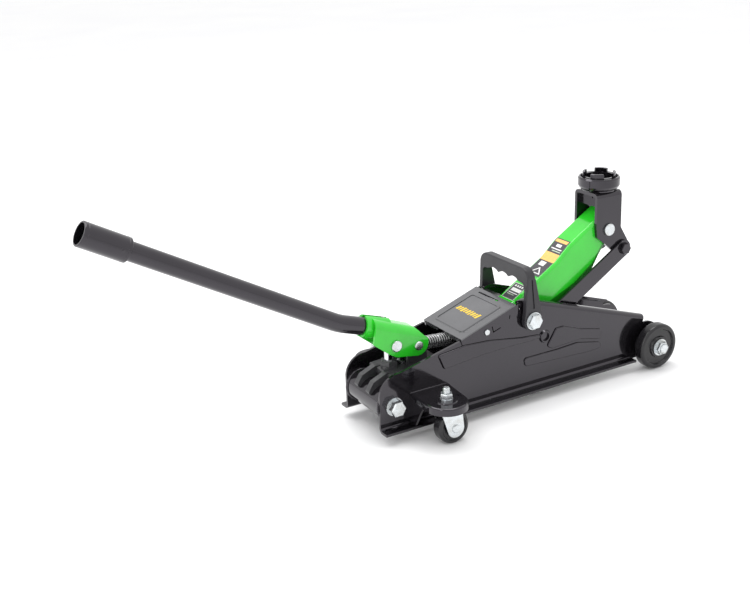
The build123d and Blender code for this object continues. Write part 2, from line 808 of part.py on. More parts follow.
with BuildPart() as reservoir_tube:
    with BuildSketch(Plane.YZ.offset(tank_rear)):
        with Locations((0, ram_z)):
            Circle(tank_r)
            Circle(tank_r - 1.6, mode=Mode.SUBTRACT)
    extrude(amount=tank_front - tank_rear)
reservoir_tube.part.label = "reservoir_tube"
export_step(reservoir_tube.part, "parts/reservoir_tube.step")

with BuildPart() as cylinder_gland:
    with BuildSketch(Plane.YZ.offset(tank_front)):
        with Locations((0, ram_z)):
            Circle(tank_r)
            Circle(ram_r + fit, mode=Mode.SUBTRACT)
    extrude(amount=gland_front - tank_front)
    with BuildSketch(Plane.YZ.offset(gland_front - 3)):
        with Locations((0, ram_z)):
            with PolarLocations(tank_r, 6):
                Circle(2.2)
    extrude(amount=4, mode=Mode.SUBTRACT)
    chamfer(cylinder_gland.faces().sort_by(Axis.X)[-1].inner_wires()[0].edges(), length=0.8)
cylinder_gland.part.label = "cylinder_gland"
export_step(cylinder_gland.part, "parts/cylinder_gland.step")

ram_gap = 1.5               # free play between the ram's head and the lever's roller
head_front = ram_pin_x - roller_r - ram_gap
head_t = 8.0
ram_rear = rear_x + 117.3

with BuildPart() as ram:
    with BuildSketch(Plane.YZ.offset(ram_rear)):
        with Locations((0, ram_z)):
            Circle(10)
    extrude(amount=10)
    with BuildSketch(Plane.YZ.offset(ram_rear + 3.5)):
        with Locations((0, ram_z)):
            Circle(11)
            Circle(8.5, mode=Mode.SUBTRACT)
    extrude(amount=3, mode=Mode.SUBTRACT)
    with BuildSketch(Plane.YZ.offset(ram_rear)):
        with Locations((0, ram_z)):
            Circle(ram_r - 0.5)
    extrude(amount=10)
    with BuildSketch(Plane.YZ.offset(ram_rear + 10)):
        with Locations((0, ram_z)):
            Circle(ram_r)
    extrude(amount=head_front - head_t - ram_rear - 10)
ram.part.label = "ram"
export_step(ram.part, "parts/ram.step")

with BuildPart() as ram_seal:
    with BuildSketch(Plane.YZ.offset(ram_rear + 3.5)):
        with Locations((0, ram_z)):
            Circle(10)
            Circle(8.5, mode=Mode.SUBTRACT)
    extrude(amount=3)
ram_seal.part.label = "ram_seal"
export_step(ram_seal.part, "parts/ram_seal.step")

with BuildPart() as ram_head:
    with BuildSketch(Plane.YZ.offset(head_front - head_t)):
        with Locations((0, ram_z)):
            RectangleRounded(21, 24, 4)
    extrude(amount=head_t)
ram_head.part.label = "ram_head"
export_step(ram_head.part, "parts/ram_head.step")


# ---------------------------------------------------------------- lift arm

def arm_plane(y):
    """A sketch plane square to Y, with local x along the lift arm from its pivot."""
    tilt = radians(arm_angle)
    return Plane(origin=(pivot_x, y, pivot_z), x_dir=(cos(tilt), 0, sin(tilt)), z_dir=(0, -1, 0))


lever_angle = radians(lever_lead - 90 - arm_angle)
lever_u = lever_length * cos(lever_angle)
lever_v = lever_length * sin(lever_angle)
spring_angle = radians(-spring_lag - 90 - arm_angle)
spring_u = spring_arm * cos(spring_angle)
spring_v = spring_arm * sin(spring_angle)
tip_u = arm_length + 12
belly = ((149, -14.8), (133, -21.5), (120, -28.5), (111, -33.5), (100, -36), (59, -38))

with BuildPart() as lift_arm:
    with BuildSketch(arm_plane(arm_half)):
        with BuildLine():
            Line((-15, 2), (-15, 15))
            FilletPolyline((-15, 15), (78, 15), (106, 20), (tip_u, 20), radius=30)
            FilletPolyline((tip_u, 20), (tip_u, -9), (149, -14.8), radius=9)
            Polyline(*belly)
            FilletPolyline(belly[-1], (14, -42), (lever_u + 9.5, lever_v - 5.5), radius=10)
            ThreePointArc(
                (lever_u + 9.5, lever_v - 5.5), (lever_u - 1, lever_v - 10.95), (lever_u - 10.9, lever_v + 1.5)
            )
            FilletPolyline((lever_u - 10.9, lever_v + 1.5), (-18, -14), (-15, 2), radius=8)
        make_face()
    extrude(amount=2 * arm_half)
    side_edges = lift_arm.edges().filter_by(lambda e: abs(e.center().Y) > arm_half - 0.1)
    fold_edges = side_edges.filter_by(lambda e: arm_plane(0).to_local_coords(e.center()).Y > 14.5)
    fillet(fold_edges, radius=4.5)
    # hollow below the top skin, narrower towards the lower edge
    with BuildSketch(arm_plane(arm_half - arm_t)):
        with BuildLine():
            FilletPolyline(
                (-40, 2), (-40, 12), (79, 12), (107, 17), (200, 17), (200, -12), (142, -12),
                (118, -22), (60, -24), (30, -60), (-60, -60), (-40, 2),
                radius=3,
            )
        make_face()
    extrude(amount=2 * (arm_half - arm_t), mode=Mode.SUBTRACT)
    with BuildSketch(arm_plane(arm_half - 6.5)):
        with Locations((90, -32)):
            Rectangle(230, 60)
    extrude(amount=2 * (arm_half - 6.5), mode=Mode.SUBTRACT)
    # holes for the pivot tube, bracket pin, lever pin and spring pin
    with BuildSketch(arm_plane(arm_half + 1)):
        Circle(13)
        with Locations((arm_length, 0)):
            Circle(7)
        with Locations((lever_u, lever_v)):
            Circle(5)
        with Locations((spring_u, spring_v)):
            Circle(2.5)
    extrude(amount=2 * arm_half + 2, mode=Mode.SUBTRACT)
lift_arm.part.label = "lift_arm"
export_step(lift_arm.part, "parts/lift_arm.step")

with BuildPart() as arm_pivot_tube:
    with BuildSketch(arm_plane(arm_half + 1)):
        Circle(13)
        Circle(pivot_r + fit, mode=Mode.SUBTRACT)
    extrude(amount=2 * arm_half + 2)
arm_pivot_tube.part.label = "arm_pivot_tube"
export_step(arm_pivot_tube.part, "parts/arm_pivot_tube.step")

with BuildPart() as arm_pivot_shaft:
    with BuildSketch(cross_plane(pivot_x, pivot_z, plate_out)):
        Circle(pivot_r)
    extrude(amount=2 * plate_out)
    for side in both_sides:
        with BuildSketch(cross_plane(pivot_x, pivot_z, side * plate_out)):
            Circle(5)
        extrude(amount=side * 20, mode=Mode.SUBTRACT)
arm_pivot_shaft.part.label = "arm_pivot_shaft"
export_step(arm_pivot_shaft.part, "parts/arm_pivot_shaft.step")

with BuildPart() as arm_spacers:
    for side in both_sides:
        with BuildSketch(cross_plane(pivot_x, pivot_z, side * (arm_half + 1.4))):
            Circle(12.5)
            Circle(pivot_r, mode=Mode.SUBTRACT)
        extrude(amount=-side * (plate_in - arm_half - 1.4))
arm_spacers.part.label = "arm_spacers"
export_step(arm_spacers.part, "parts/arm_spacers.step")

with BuildPart() as arm_pins:
    # ram roller's pin
    with BuildSketch(arm_plane(arm_half + 2)):
        with Locations((lever_u, lever_v)):
            Circle(5)
    extrude(amount=2 * arm_half + 4)
    chamfer(arm_pins.edges().filter_by(GeomType.CIRCLE), length=0.7)
    # return spring's pin
    with BuildSketch(arm_plane(arm_half + 0.8)):
        with Locations((spring_u, spring_v)):
            Circle(2.5)
    extrude(amount=2 * arm_half + 1.6)
arm_pins.part.label = "arm_pins"
export_step(arm_pins.part, "parts/arm_pins.step")

with BuildPart() as lever_roller:
    with BuildSketch(arm_plane(arm_half - arm_t - 0.5)):
        with Locations((lever_u, lever_v)):
            Circle(roller_r)
            Circle(5 + fit, mode=Mode.SUBTRACT)
    extrude(amount=2 * (arm_half - arm_t - 0.5))
lever_roller.part.label = "lever_roller"
export_step(lever_roller.part, "parts/lever_roller.step")


# ---------------------------------------------------------------- arm return spring

coil_r = 7.1                # to the middle of the wire
wire_r = 1.2
spring_run = (spring_pin_x - anchor_x, spring_pin_z - anchor_z)
spring_span = sqrt(spring_run[0] ** 2 + spring_run[1] ** 2)
spring_plane = Plane(
    origin=(anchor_x, 0, anchor_z),
    x_dir=(0, 1, 0),
    z_dir=(spring_run[0], 0, spring_run[1]),
)
coil_start = 12.0
coil_end = spring_span - 20.0
coil_turns = 30
hook_r = 3.8                # middle of the wire round a pin

with BuildPart() as return_spring:
    coil_plane = spring_plane.offset(coil_start)
    coil = Helix(
        pitch=(coil_end - coil_start) / coil_turns,
        height=coil_end - coil_start,
        radius=coil_r,
        center=coil_plane.origin,
        direction=coil_plane.z_dir,
    )
    with BuildSketch(Plane(origin=coil @ 0, z_dir=coil % 0)):
        Circle(wire_r)
    sweep(path=coil)
    # a straight end from the last turn to the spring's axis, then to the hook round the pin
    for turn_end, pin_at, away in ((coil @ 0, 0, 1), (coil @ 1, spring_span, -1)):
        foot = spring_plane.to_local_coords(turn_end)
        centre = spring_plane.from_local_coords((0, 0, foot.Z))
        neck = spring_plane.from_local_coords((0, 0, pin_at + away * hook_r))
        with BuildLine():
            Polyline(turn_end, centre, neck)
        with BuildSketch(Plane(origin=turn_end, z_dir=centre - turn_end)):
            Circle(wire_r)
        sweep(transition=Transition.ROUND)
        with Locations(Location(spring_plane.from_local_coords((0, 0, pin_at)), (90, 0, 0))):
            Torus(hook_r, wire_r)
return_spring.part.label = "return_spring"
export_step(return_spring.part, "parts/return_spring.step")

with BuildPart() as spring_anchor_pin:
    with BuildSketch(cross_plane(anchor_x, anchor_z, 11.8)):
        Circle(2.5)
    extrude(amount=23.6)
spring_anchor_pin.part.label = "spring_anchor_pin"
export_step(spring_anchor_pin.part, "parts/spring_anchor_pin.step")


# ---------------------------------------------------------------- saddle bracket and links

with BuildPart() as saddle_bracket:
    with BuildSketch(cross_plane(bracket_pin_x, bracket_pin_z, bracket_half)):
        with BuildLine():
            Polyline(
                (20, 8),
                (19.5, bracket_top - bracket_pin_z),
                (-20, bracket_top - bracket_pin_z),
                (-20, 5),
            )
            FilletPolyline((-20, 5), (-18, -8), (-4, -19), (12, -34), (17, -37.5), radius=5)
            ThreePointArc((17, -37.5), (29.5, -37.5), (34.2, -26.5))
            FilletPolyline((34.2, -26.5), (33, -21), (20, 0), (20, 8), radius=5)
        make_face()
    extrude(amount=2 * bracket_half)
    top_edges = saddle_bracket.faces().sort_by(Axis.Z)[-1].edges().filter_by(Axis.X)
    fillet(top_edges, radius=6)
    with BuildSketch(Plane.YZ.offset(bracket_pin_x - 40)):
        with BuildLine():
            FilletPolyline(
                (-bracket_half + bracket_t, 0),
                (-bracket_half + bracket_t, bracket_top - bracket_t),
                (bracket_half - bracket_t, bracket_top - bracket_t),
                (bracket_half - bracket_t, 0),
                radius=2.5,
            )
            Line((bracket_half - bracket_t, 0), (-bracket_half + bracket_t, 0))
        make_face()
    extrude(amount=90, mode=Mode.SUBTRACT)
    with BuildSketch(cross_plane(bracket_pin_x, bracket_pin_z, bracket_half + 1)):
        Circle(7)
        with Locations((link_dx, link_dz)):
            Circle(5.3)
    extrude(amount=2 * bracket_half + 2, mode=Mode.SUBTRACT)
    with BuildSketch(Plane.XY.offset(bracket_top + 1)):
        with Locations((bracket_pin_x, 0)):
            Circle(8 + fit)
    extrude(amount=-8, mode=Mode.SUBTRACT)
saddle_bracket.part.label = "saddle_bracket"
export_step(saddle_bracket.part, "parts/saddle_bracket.step")

with BuildPart() as bracket_pin:
    with BuildSketch(cross_plane(bracket_pin_x, bracket_pin_z, bracket_half + 0.3)):
        Circle(7 - fit)
    extrude(amount=2 * bracket_half + 0.6)
    for side in both_sides:
        with BuildSketch(cross_plane(bracket_pin_x, bracket_pin_z, side * (bracket_half + 0.3))):
            Circle(7.9)
        extrude(amount=-side * 3)
    fillet(bracket_pin.edges().filter_by(lambda e: abs(e.center().Y) > bracket_half + 3), radius=1.4)
bracket_pin.part.label = "bracket_pin"
export_step(bracket_pin.part, "parts/bracket_pin.step")

link_face = link_in + link_t
link_mid_x = (link_low_x + link_top_x) / 2
link_mid_z = (link_low_z + link_top_z) / 2

with BuildPart() as link_bars:
    for side in both_sides:
        with BuildSketch(cross_plane(link_mid_x, link_mid_z, side * link_in)):
            SlotCenterToCenter(arm_length, 2 * link_half, rotation=arm_angle)
        extrude(amount=-side * link_t)
    rims = link_bars.faces().filter_by(Axis.Y).edges()
    fillet(rims, radius=0.6)
    with BuildSketch(cross_plane(0, 0, link_face + 1)):
        with Locations((link_low_x, link_low_z), (link_top_x, link_top_z)):
            Circle(5 + fit)
    extrude(amount=2 * link_face + 2, mode=Mode.SUBTRACT)
link_bars.part.label = "link_bars"
export_step(link_bars.part, "parts/link_bars.step")

with BuildPart() as link_top_bolt:
    with BuildSketch(cross_plane(link_top_x, link_top_z, link_face + 4.9)):
        Circle(5)
    extrude(amount=2 * link_face + 5.3)
    with BuildSketch(cross_plane(link_top_x, link_top_z, -link_face - 0.4)):
        hexagon(13)
    extrude(amount=4.5)
    chamfer(link_top_bolt.faces().sort_by(Axis.Y)[0].edges(), length=0.7)
    # nut on the far end, as its own solid
    with BuildSketch(cross_plane(link_top_x, link_top_z, link_face + 4.4)):
        hexagon(13)
        Circle(5 + fit, mode=Mode.SUBTRACT)
    extrude(amount=4)
link_top_bolt.part.label = "link_top_bolt"
export_step(link_top_bolt.part, "parts/link_top_bolt.step")

with BuildPart() as link_low_pins:
    for side in both_sides:
        with BuildSketch(cross_plane(link_low_x, link_low_z, side * (link_face + 0.4))):
            Circle(9)
        extrude(amount=-side * (plate_in - link_face - 0.4))
        with BuildSketch(cross_plane(link_low_x, link_low_z, side * plate_out)):
            Circle(5.5)
        extrude(amount=side * (plate_out - link_face))
        with BuildSketch(cross_plane(link_low_x, link_low_z, side * (link_face + 1))):
            Circle(5)
        extrude(amount=side * (link_t + 1.6))
        with BuildSketch(cross_plane(link_low_x, link_low_z, side * (link_in - 0.3))):
            Circle(8)
        extrude(amount=side * 2.4)
    rims = link_low_pins.edges().filter_by(lambda e: abs(e.center().Y) < link_in - 2.5)
    fillet(rims, radius=1.5)
link_low_pins.part.label = "link_low_pins"
export_step(link_low_pins.part, "parts/link_low_pins.step")


# ---------------------------------------------------------------- saddle

seat = bracket_top + 0.4
lug_in = 17.7
lug_out = 20.5
lug_half = 24               # half of the angle that a lug covers, in degrees

with BuildPart() as saddle:
    with BuildSketch(Plane(origin=(bracket_pin_x, 0, 0), x_dir=(1, 0, 0), z_dir=(0, -1, 0))):
        with BuildLine():
            Polyline(
                (0, bracket_top - 11),
                (8, bracket_top - 11),
                (8, bracket_top - 7.5),
                (6.6, bracket_top - 7.5),
                (6.6, bracket_top - 5.9),
                (8, bracket_top - 5.9),
                (8, seat),
                (21.5, seat),
                (22, seat + 1.5),
                (24.8, seat + 4),
                (saddle_r, seat + 6.5),
                (saddle_r, seat + 15),
                (saddle_r - 1.5, seat + 17),
                (saddle_r - 3, seat + 17),
                (saddle_r - 4, seat + 13.5),
                (saddle_r - 5, seat + 13.5),
                (saddle_r - 5.4, seat + 17.4),
                (saddle_r - 8.4, seat + 17.4),
                (saddle_r - 9.6, seat + 7),
                (0, seat + 7),
                (0, bracket_top - 11),
            )
        make_face()
    revolve(axis=Axis((bracket_pin_x, 0, 0), (0, 0, 1)))
    # raised lugs round the inner ring
    for turn in (42, 132, 222, 312):
        with BuildSketch(Plane(origin=(bracket_pin_x, 0, seat + 12))):
            with BuildLine():
                CenterArc((0, 0), lug_out, turn - lug_half, 2 * lug_half)
                CenterArc((0, 0), lug_in, turn - lug_half, 2 * lug_half)
                for edge in (turn - lug_half, turn + lug_half):
                    Line(
                        (lug_in * cos(radians(edge)), lug_in * sin(radians(edge))),
                        (lug_out * cos(radians(edge)), lug_out * sin(radians(edge))),
                    )
            make_face()
        extrude(amount=saddle_top - seat - 12)
    chamfer(saddle.faces().group_by(Axis.Z)[-1].edges(), length=0.6)
saddle.part.label = "saddle"
export_step(saddle.part, "parts/saddle.step")

with BuildPart() as saddle_clip:
    with BuildSketch(Plane.XY.offset(bracket_top - 5.9)):
        with Locations((bracket_pin_x, 0)):
            Circle(10.5)
            Circle(6.6, mode=Mode.SUBTRACT)
            with Locations((9, 0)):
                Rectangle(8, 6, mode=Mode.SUBTRACT)
    extrude(amount=-1.2)
saddle_clip.part.label = "saddle_clip"
export_step(saddle_clip.part, "parts/saddle_clip.step")


# ---------------------------------------------------------------- carry handle

grip_out = 48.5             # outer face of a leg
grip_in = 42.0              # inner face, clear of the pressed ribs
grip_top = 171.0
grip_under = 152.0
boss_r = 13.0
boss_face = 47.6

with BuildPart() as carry_handle:
    with BuildSketch(Plane.YZ.offset(pivot_x - 40)):
        with BuildLine():
            FilletPolyline(
                (-grip_out, 90), (-grip_out, grip_top), (grip_out, grip_top), (grip_out, 90), radius=13
            )
            Polyline((grip_out, 90), (grip_in, 90))
            FilletPolyline((grip_in, 90), (grip_in, grip_under), (30, grip_under + 1), radius=6)
            ThreePointArc((30, grip_under + 1), (20, grip_under + 4.5), (10, grip_under + 1))
            ThreePointArc((10, grip_under + 1), (0, grip_under + 4.5), (-10, grip_under + 1))
            ThreePointArc((-10, grip_under + 1), (-20, grip_under + 4.5), (-30, grip_under + 1))
            FilletPolyline((-30, grip_under + 1), (-grip_in, grip_under), (-grip_in, 90), radius=6)
            Polyline((-grip_in, 90), (-grip_out, 90))
        make_face()
    extrude(amount=80)
    with BuildSketch(cross_plane(pivot_x, 0, 60)):
        with BuildLine():
            Polyline((-boss_r + 0.5, pivot_z), (-10.5, 135), (-9.3, grip_top + 5), (1.5, grip_top + 5))
            Polyline((1.5, grip_top + 5), (2, 158), (5.5, 142), (9.5, 124), (boss_r - 0.5, pivot_z))
            Line((boss_r - 0.5, pivot_z), (-boss_r + 0.5, pivot_z))
        make_face()
    extrude(amount=120, mode=Mode.INTERSECT)
    outline = carry_handle.edges().filter_by(lambda e: e.center().Z > grip_top - 14)
    fillet(outline.filter_by(lambda e: abs(e.center().Y) > 20 or e.center().Z > grip_top - 1), radius=1.6)
    for side in both_sides:
        with BuildSketch(cross_plane(pivot_x, pivot_z, side * grip_in)):
            Circle(boss_r)
        extrude(amount=-side * (boss_face - grip_in))
        # groove down the outside of each leg
        with BuildSketch(cross_plane(pivot_x, 0, side * grip_out)):
            with BuildLine():
                Polyline((-4.2, 158), (-2.6, 158), (1.4, 121), (-1.4, 121), (-4.2, 158))
            make_face()
        extrude(amount=side * 1.3, mode=Mode.SUBTRACT)
        with BuildSketch(cross_plane(pivot_x, pivot_z, side * (boss_face + 5))):
            Circle(11.6)
        extrude(amount=side * 5, mode=Mode.SUBTRACT)
    with BuildSketch(cross_plane(pivot_x, pivot_z, 60)):
        Circle(6 + fit)
    extrude(amount=120, mode=Mode.SUBTRACT)
carry_handle.part.label = "carry_handle"
export_step(carry_handle.part, "parts/carry_handle.step")

with BuildPart() as carry_handle_bolts:
    for side in both_sides:
        with BuildSketch(cross_plane(pivot_x, pivot_z, side * (boss_face + 0.3))):
            Circle(6)
        extrude(amount=side * (boss_face + 0.3 - plate_out))
        with BuildSketch(cross_plane(pivot_x, pivot_z, side * plate_out)):
            Circle(5 - fit)
        extrude(amount=side * 18)
        with BuildSketch(cross_plane(pivot_x, pivot_z, side * (boss_face + 0.3))):
            Circle(11)
        extrude(amount=-side * 1.6)
        with BuildSketch(cross_plane(pivot_x, pivot_z, side * (boss_face + 1.9))):
            hexagon(17)
        extrude(amount=-side * 5)
    crowns = carry_handle_bolts.edges().filter_by(lambda e: abs(e.center().Y) > boss_face + 6.8)
    chamfer(crowns, length=0.9)
carry_handle_bolts.part.label = "carry_handle_bolts"
export_step(carry_handle_bolts.part, "parts/carry_handle_bolts.step")


# ---------------------------------------------------------------- handle socket

def in_socket(along, up):
    """A point (x, z) of the handle socket, along its tube axis towards the pivot and square to it."""
    tilt = radians(socket_tilt)
    x = tube_x + along * cos(tilt) + up * sin(tilt)
    z = tube_z - along * sin(tilt) + up * cos(tilt)
    return (x, z)


def tube_plane(along):
    """A sketch plane square to the socket's tube axis, local x towards +Y, local y up."""
    x, z = in_socket(along, 0)
    tilt = radians(socket_tilt)
    return Plane(origin=(x, 0, z), x_dir=(0, 1, 0), z_dir=(cos(tilt), 0, -sin(tilt)))


tube_x = rear_x + 11.3      # on the socket's tube axis, above its rear half
tube_z = 128.8
wrap_rear = -9.0
wrap_front = 23.5

shoulder_plane = Plane(
    origin=(rear_x + 14, 0, 140), x_dir=(0, 1, 0), z_dir=(53, 0, -21.3)
)

with BuildPart() as handle_socket:
    # folded body with rounded shoulders, cut to its side outline
    with BuildSketch(shoulder_plane.offset(-20)):
        with Locations((0, -30)):
            RectangleRounded(2 * socket_half, 60, 11)
    extrude(amount=110)
    with BuildSketch(cross_plane(rear_x, 0, socket_half + 1)):
        with BuildLine():
            Polyline((8, 112), (19.5, 102.8), (28.5, 95.7), (37.7, 90.3), (62, 86.3))
            ThreePointArc((62, 86.3), (74.5, 87.5), (81.2, 98))
            Polyline((81.2, 98), (81.2, 104.3), (75, 109.5), (67, 118.7), (60, 124), (14, 145))
            Line((14, 145), (8, 112))
        make_face()
    extrude(amount=2 * socket_half + 2, mode=Mode.INTERSECT)
    # hollow, open below and in front
    with BuildSketch(shoulder_plane.offset(-20)):
        with Locations((0, -40 - socket_t)):
            RectangleRounded(2 * (socket_half - socket_t), 80, 8)
    extrude(amount=110, mode=Mode.SUBTRACT)
    # rolled end that wraps the tube
    with BuildSketch(tube_plane(wrap_rear)):
        Circle(socket_out_r)
    extrude(amount=wrap_front - wrap_rear)
    with BuildSketch(tube_plane(wrap_rear - 1)):
        Circle(socket_in_r)
    extrude(amount=wrap_front - wrap_rear + 2, mode=Mode.SUBTRACT)
    # slot for the tube's stud, and the open seam below
    with BuildSketch(tube_plane(wrap_rear - 1)):
        with Locations((0, socket_out_r)):
            Rectangle(5, 8)
    extrude(amount=36, mode=Mode.SUBTRACT)
    with BuildSketch(tube_plane(wrap_rear - 1)):
        with Locations((0, -socket_out_r)):
            Rectangle(6, 8)
    extrude(amount=wrap_front - wrap_rear + 2, mode=Mode.SUBTRACT)
    # holes for the two pins
    with BuildSketch(cross_plane(0, 0, socket_half + 1)):
        with Locations((plunger_x, plunger_z)):
            Circle(5)
        with Locations((socket_x, socket_z)):
            Circle(4)
    extrude(amount=2 * socket_half + 2, mode=Mode.SUBTRACT)
handle_socket.part.label = "handle_socket"
export_step(handle_socket.part, "parts/handle_socket.step")

with BuildPart() as socket_pins:
    with BuildSketch(cross_plane(plunger_x, plunger_z, socket_half)):
        Circle(5)
    extrude(amount=2 * socket_half)
    with BuildSketch(cross_plane(socket_x, socket_z, socket_half)):
        Circle(4)
    extrude(amount=2 * socket_half)
    for side in both_sides:
        with BuildSketch(cross_plane(plunger_x, plunger_z, side * socket_half)):
            Circle(6.8)
        extrude(amount=-side * 3)
        with BuildSketch(cross_plane(socket_x, socket_z, side * socket_half)):
            Circle(5.5)
        extrude(amount=-side * 2.5)
    fillet(socket_pins.edges().filter_by(lambda e: abs(e.center().Y) > socket_half + 2), radius=1.2)
socket_pins.part.label = "socket_pins"
export_step(socket_pins.part, "parts/socket_pins.step")

with BuildPart() as plunger_roller:
    with BuildSketch(cross_plane(plunger_x, plunger_z, 9)):
        Circle(7)
        Circle(5, mode=Mode.SUBTRACT)
    extrude(amount=18)
plunger_roller.part.label = "plunger_roller"
export_step(plunger_roller.part, "parts/plunger_roller.step")


# ---------------------------------------------------------------- handle

sleeve_edge = 1.0           # rounding of the sleeve's rims
handle_cos = cos(radians(handle_tilt))
handle_sin = sin(radians(handle_tilt))
end_x = -overall_length / 2 + sleeve_edge + (sleeve_r - sleeve_edge) * handle_sin - sleeve_edge * handle_cos
tube_start = in_socket(24, 0)
tube_bend = in_socket(-39.8, 0)
end_z = tube_bend[1] + (tube_bend[0] - end_x) * handle_sin / handle_cos
tube_end = (end_x + 40 * handle_cos, end_z - 40 * handle_sin)

with BuildPart() as handle_tube:
    with BuildLine(Plane.XZ) as tube_axis:
        FilletPolyline(tube_start, tube_bend, tube_end, radius=85)
    with BuildSketch(Plane(origin=tube_axis.line @ 0, z_dir=tube_axis.line % 0)):
        Circle(tube_r)
        Circle(tube_r - tube_wall, mode=Mode.SUBTRACT)
    sweep(path=tube_axis.line)
    # stud that rides in the socket's slot
    stud_x, stud_z = in_socket(17, tube_r - tube_wall)
    tilt = radians(socket_tilt)
    with BuildSketch(Plane(origin=(stud_x, 0, stud_z), x_dir=(0, 1, 0), z_dir=(sin(tilt), 0, cos(tilt)))):
        Circle(2.3)
    extrude(amount=4)
handle_tube.part.label = "handle_tube"
export_step(handle_tube.part, "parts/handle_tube.step")

with BuildPart() as handle_sleeve:
    with BuildSketch(Plane(origin=(end_x, 0, end_z), x_dir=(0, 1, 0), z_dir=(handle_cos, 0, -handle_sin))):
        Circle(sleeve_r)
        Circle(sleeve_bore_r, mode=Mode.SUBTRACT)
    extrude(amount=sleeve_length)
    with BuildSketch(
        Plane(origin=(tube_end[0], 0, tube_end[1]), x_dir=(0, 1, 0), z_dir=(handle_cos, 0, -handle_sin))
    ):
        Circle(sleeve_bore_r)
        Circle(tube_r, mode=Mode.SUBTRACT)
    extrude(amount=sleeve_length - 40)
    rims = handle_sleeve.edges().filter_by(GeomType.CIRCLE).group_by(SortBy.RADIUS)[-1]
    fillet(rims, radius=sleeve_edge)
handle_sleeve.part.label = "handle_sleeve"
export_step(handle_sleeve.part, "parts/handle_sleeve.step")
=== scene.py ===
"""Looks of a compact hydraulic trolley jack: paint, plating, labels, welds, threads and a studio."""

import random
from math import cos, pi, radians, sin, tau

import bmesh
import bpy
from mathutils import Matrix, Vector


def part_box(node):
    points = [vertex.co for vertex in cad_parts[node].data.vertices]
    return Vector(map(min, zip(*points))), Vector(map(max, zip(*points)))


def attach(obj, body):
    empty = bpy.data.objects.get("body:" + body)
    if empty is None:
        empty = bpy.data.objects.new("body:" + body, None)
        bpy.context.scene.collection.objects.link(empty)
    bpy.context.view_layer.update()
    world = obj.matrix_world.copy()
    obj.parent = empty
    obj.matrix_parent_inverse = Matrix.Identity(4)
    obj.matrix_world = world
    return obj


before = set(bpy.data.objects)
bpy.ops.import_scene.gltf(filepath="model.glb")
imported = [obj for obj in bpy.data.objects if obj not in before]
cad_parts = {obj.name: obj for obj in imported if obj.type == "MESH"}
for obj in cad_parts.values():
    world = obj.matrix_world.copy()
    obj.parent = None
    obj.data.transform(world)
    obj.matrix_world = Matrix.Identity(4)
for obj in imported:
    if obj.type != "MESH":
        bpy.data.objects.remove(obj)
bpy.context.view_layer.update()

bl_info = {
    "name": "Trolley Jack",
    "version": (1, 0, 0),
    "blender": (4, 5, 0),
    "location": "View3D > Sidebar > Trolley Jack",
    "description": "Finishes and small details for a hydraulic trolley jack",
    "category": "Add Mesh",
}

MM = 0.001


def middle(node):
    """The middle of a node's box at rest."""
    low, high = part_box(node)
    return (Vector(low) + Vector(high)) / 2


def low_of(node):
    return Vector(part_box(node)[0])


def high_of(node):
    return Vector(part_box(node)[1])


PIVOT = middle("arm_pivot_shaft")
BRACKET_PIN = middle("bracket_pin")
ARM_ALONG = (BRACKET_PIN - PIVOT).normalized()
ARM_UP = Vector((-ARM_ALONG.z, 0, ARM_ALONG.x))


# ---------------------------------------------------------------- node materials


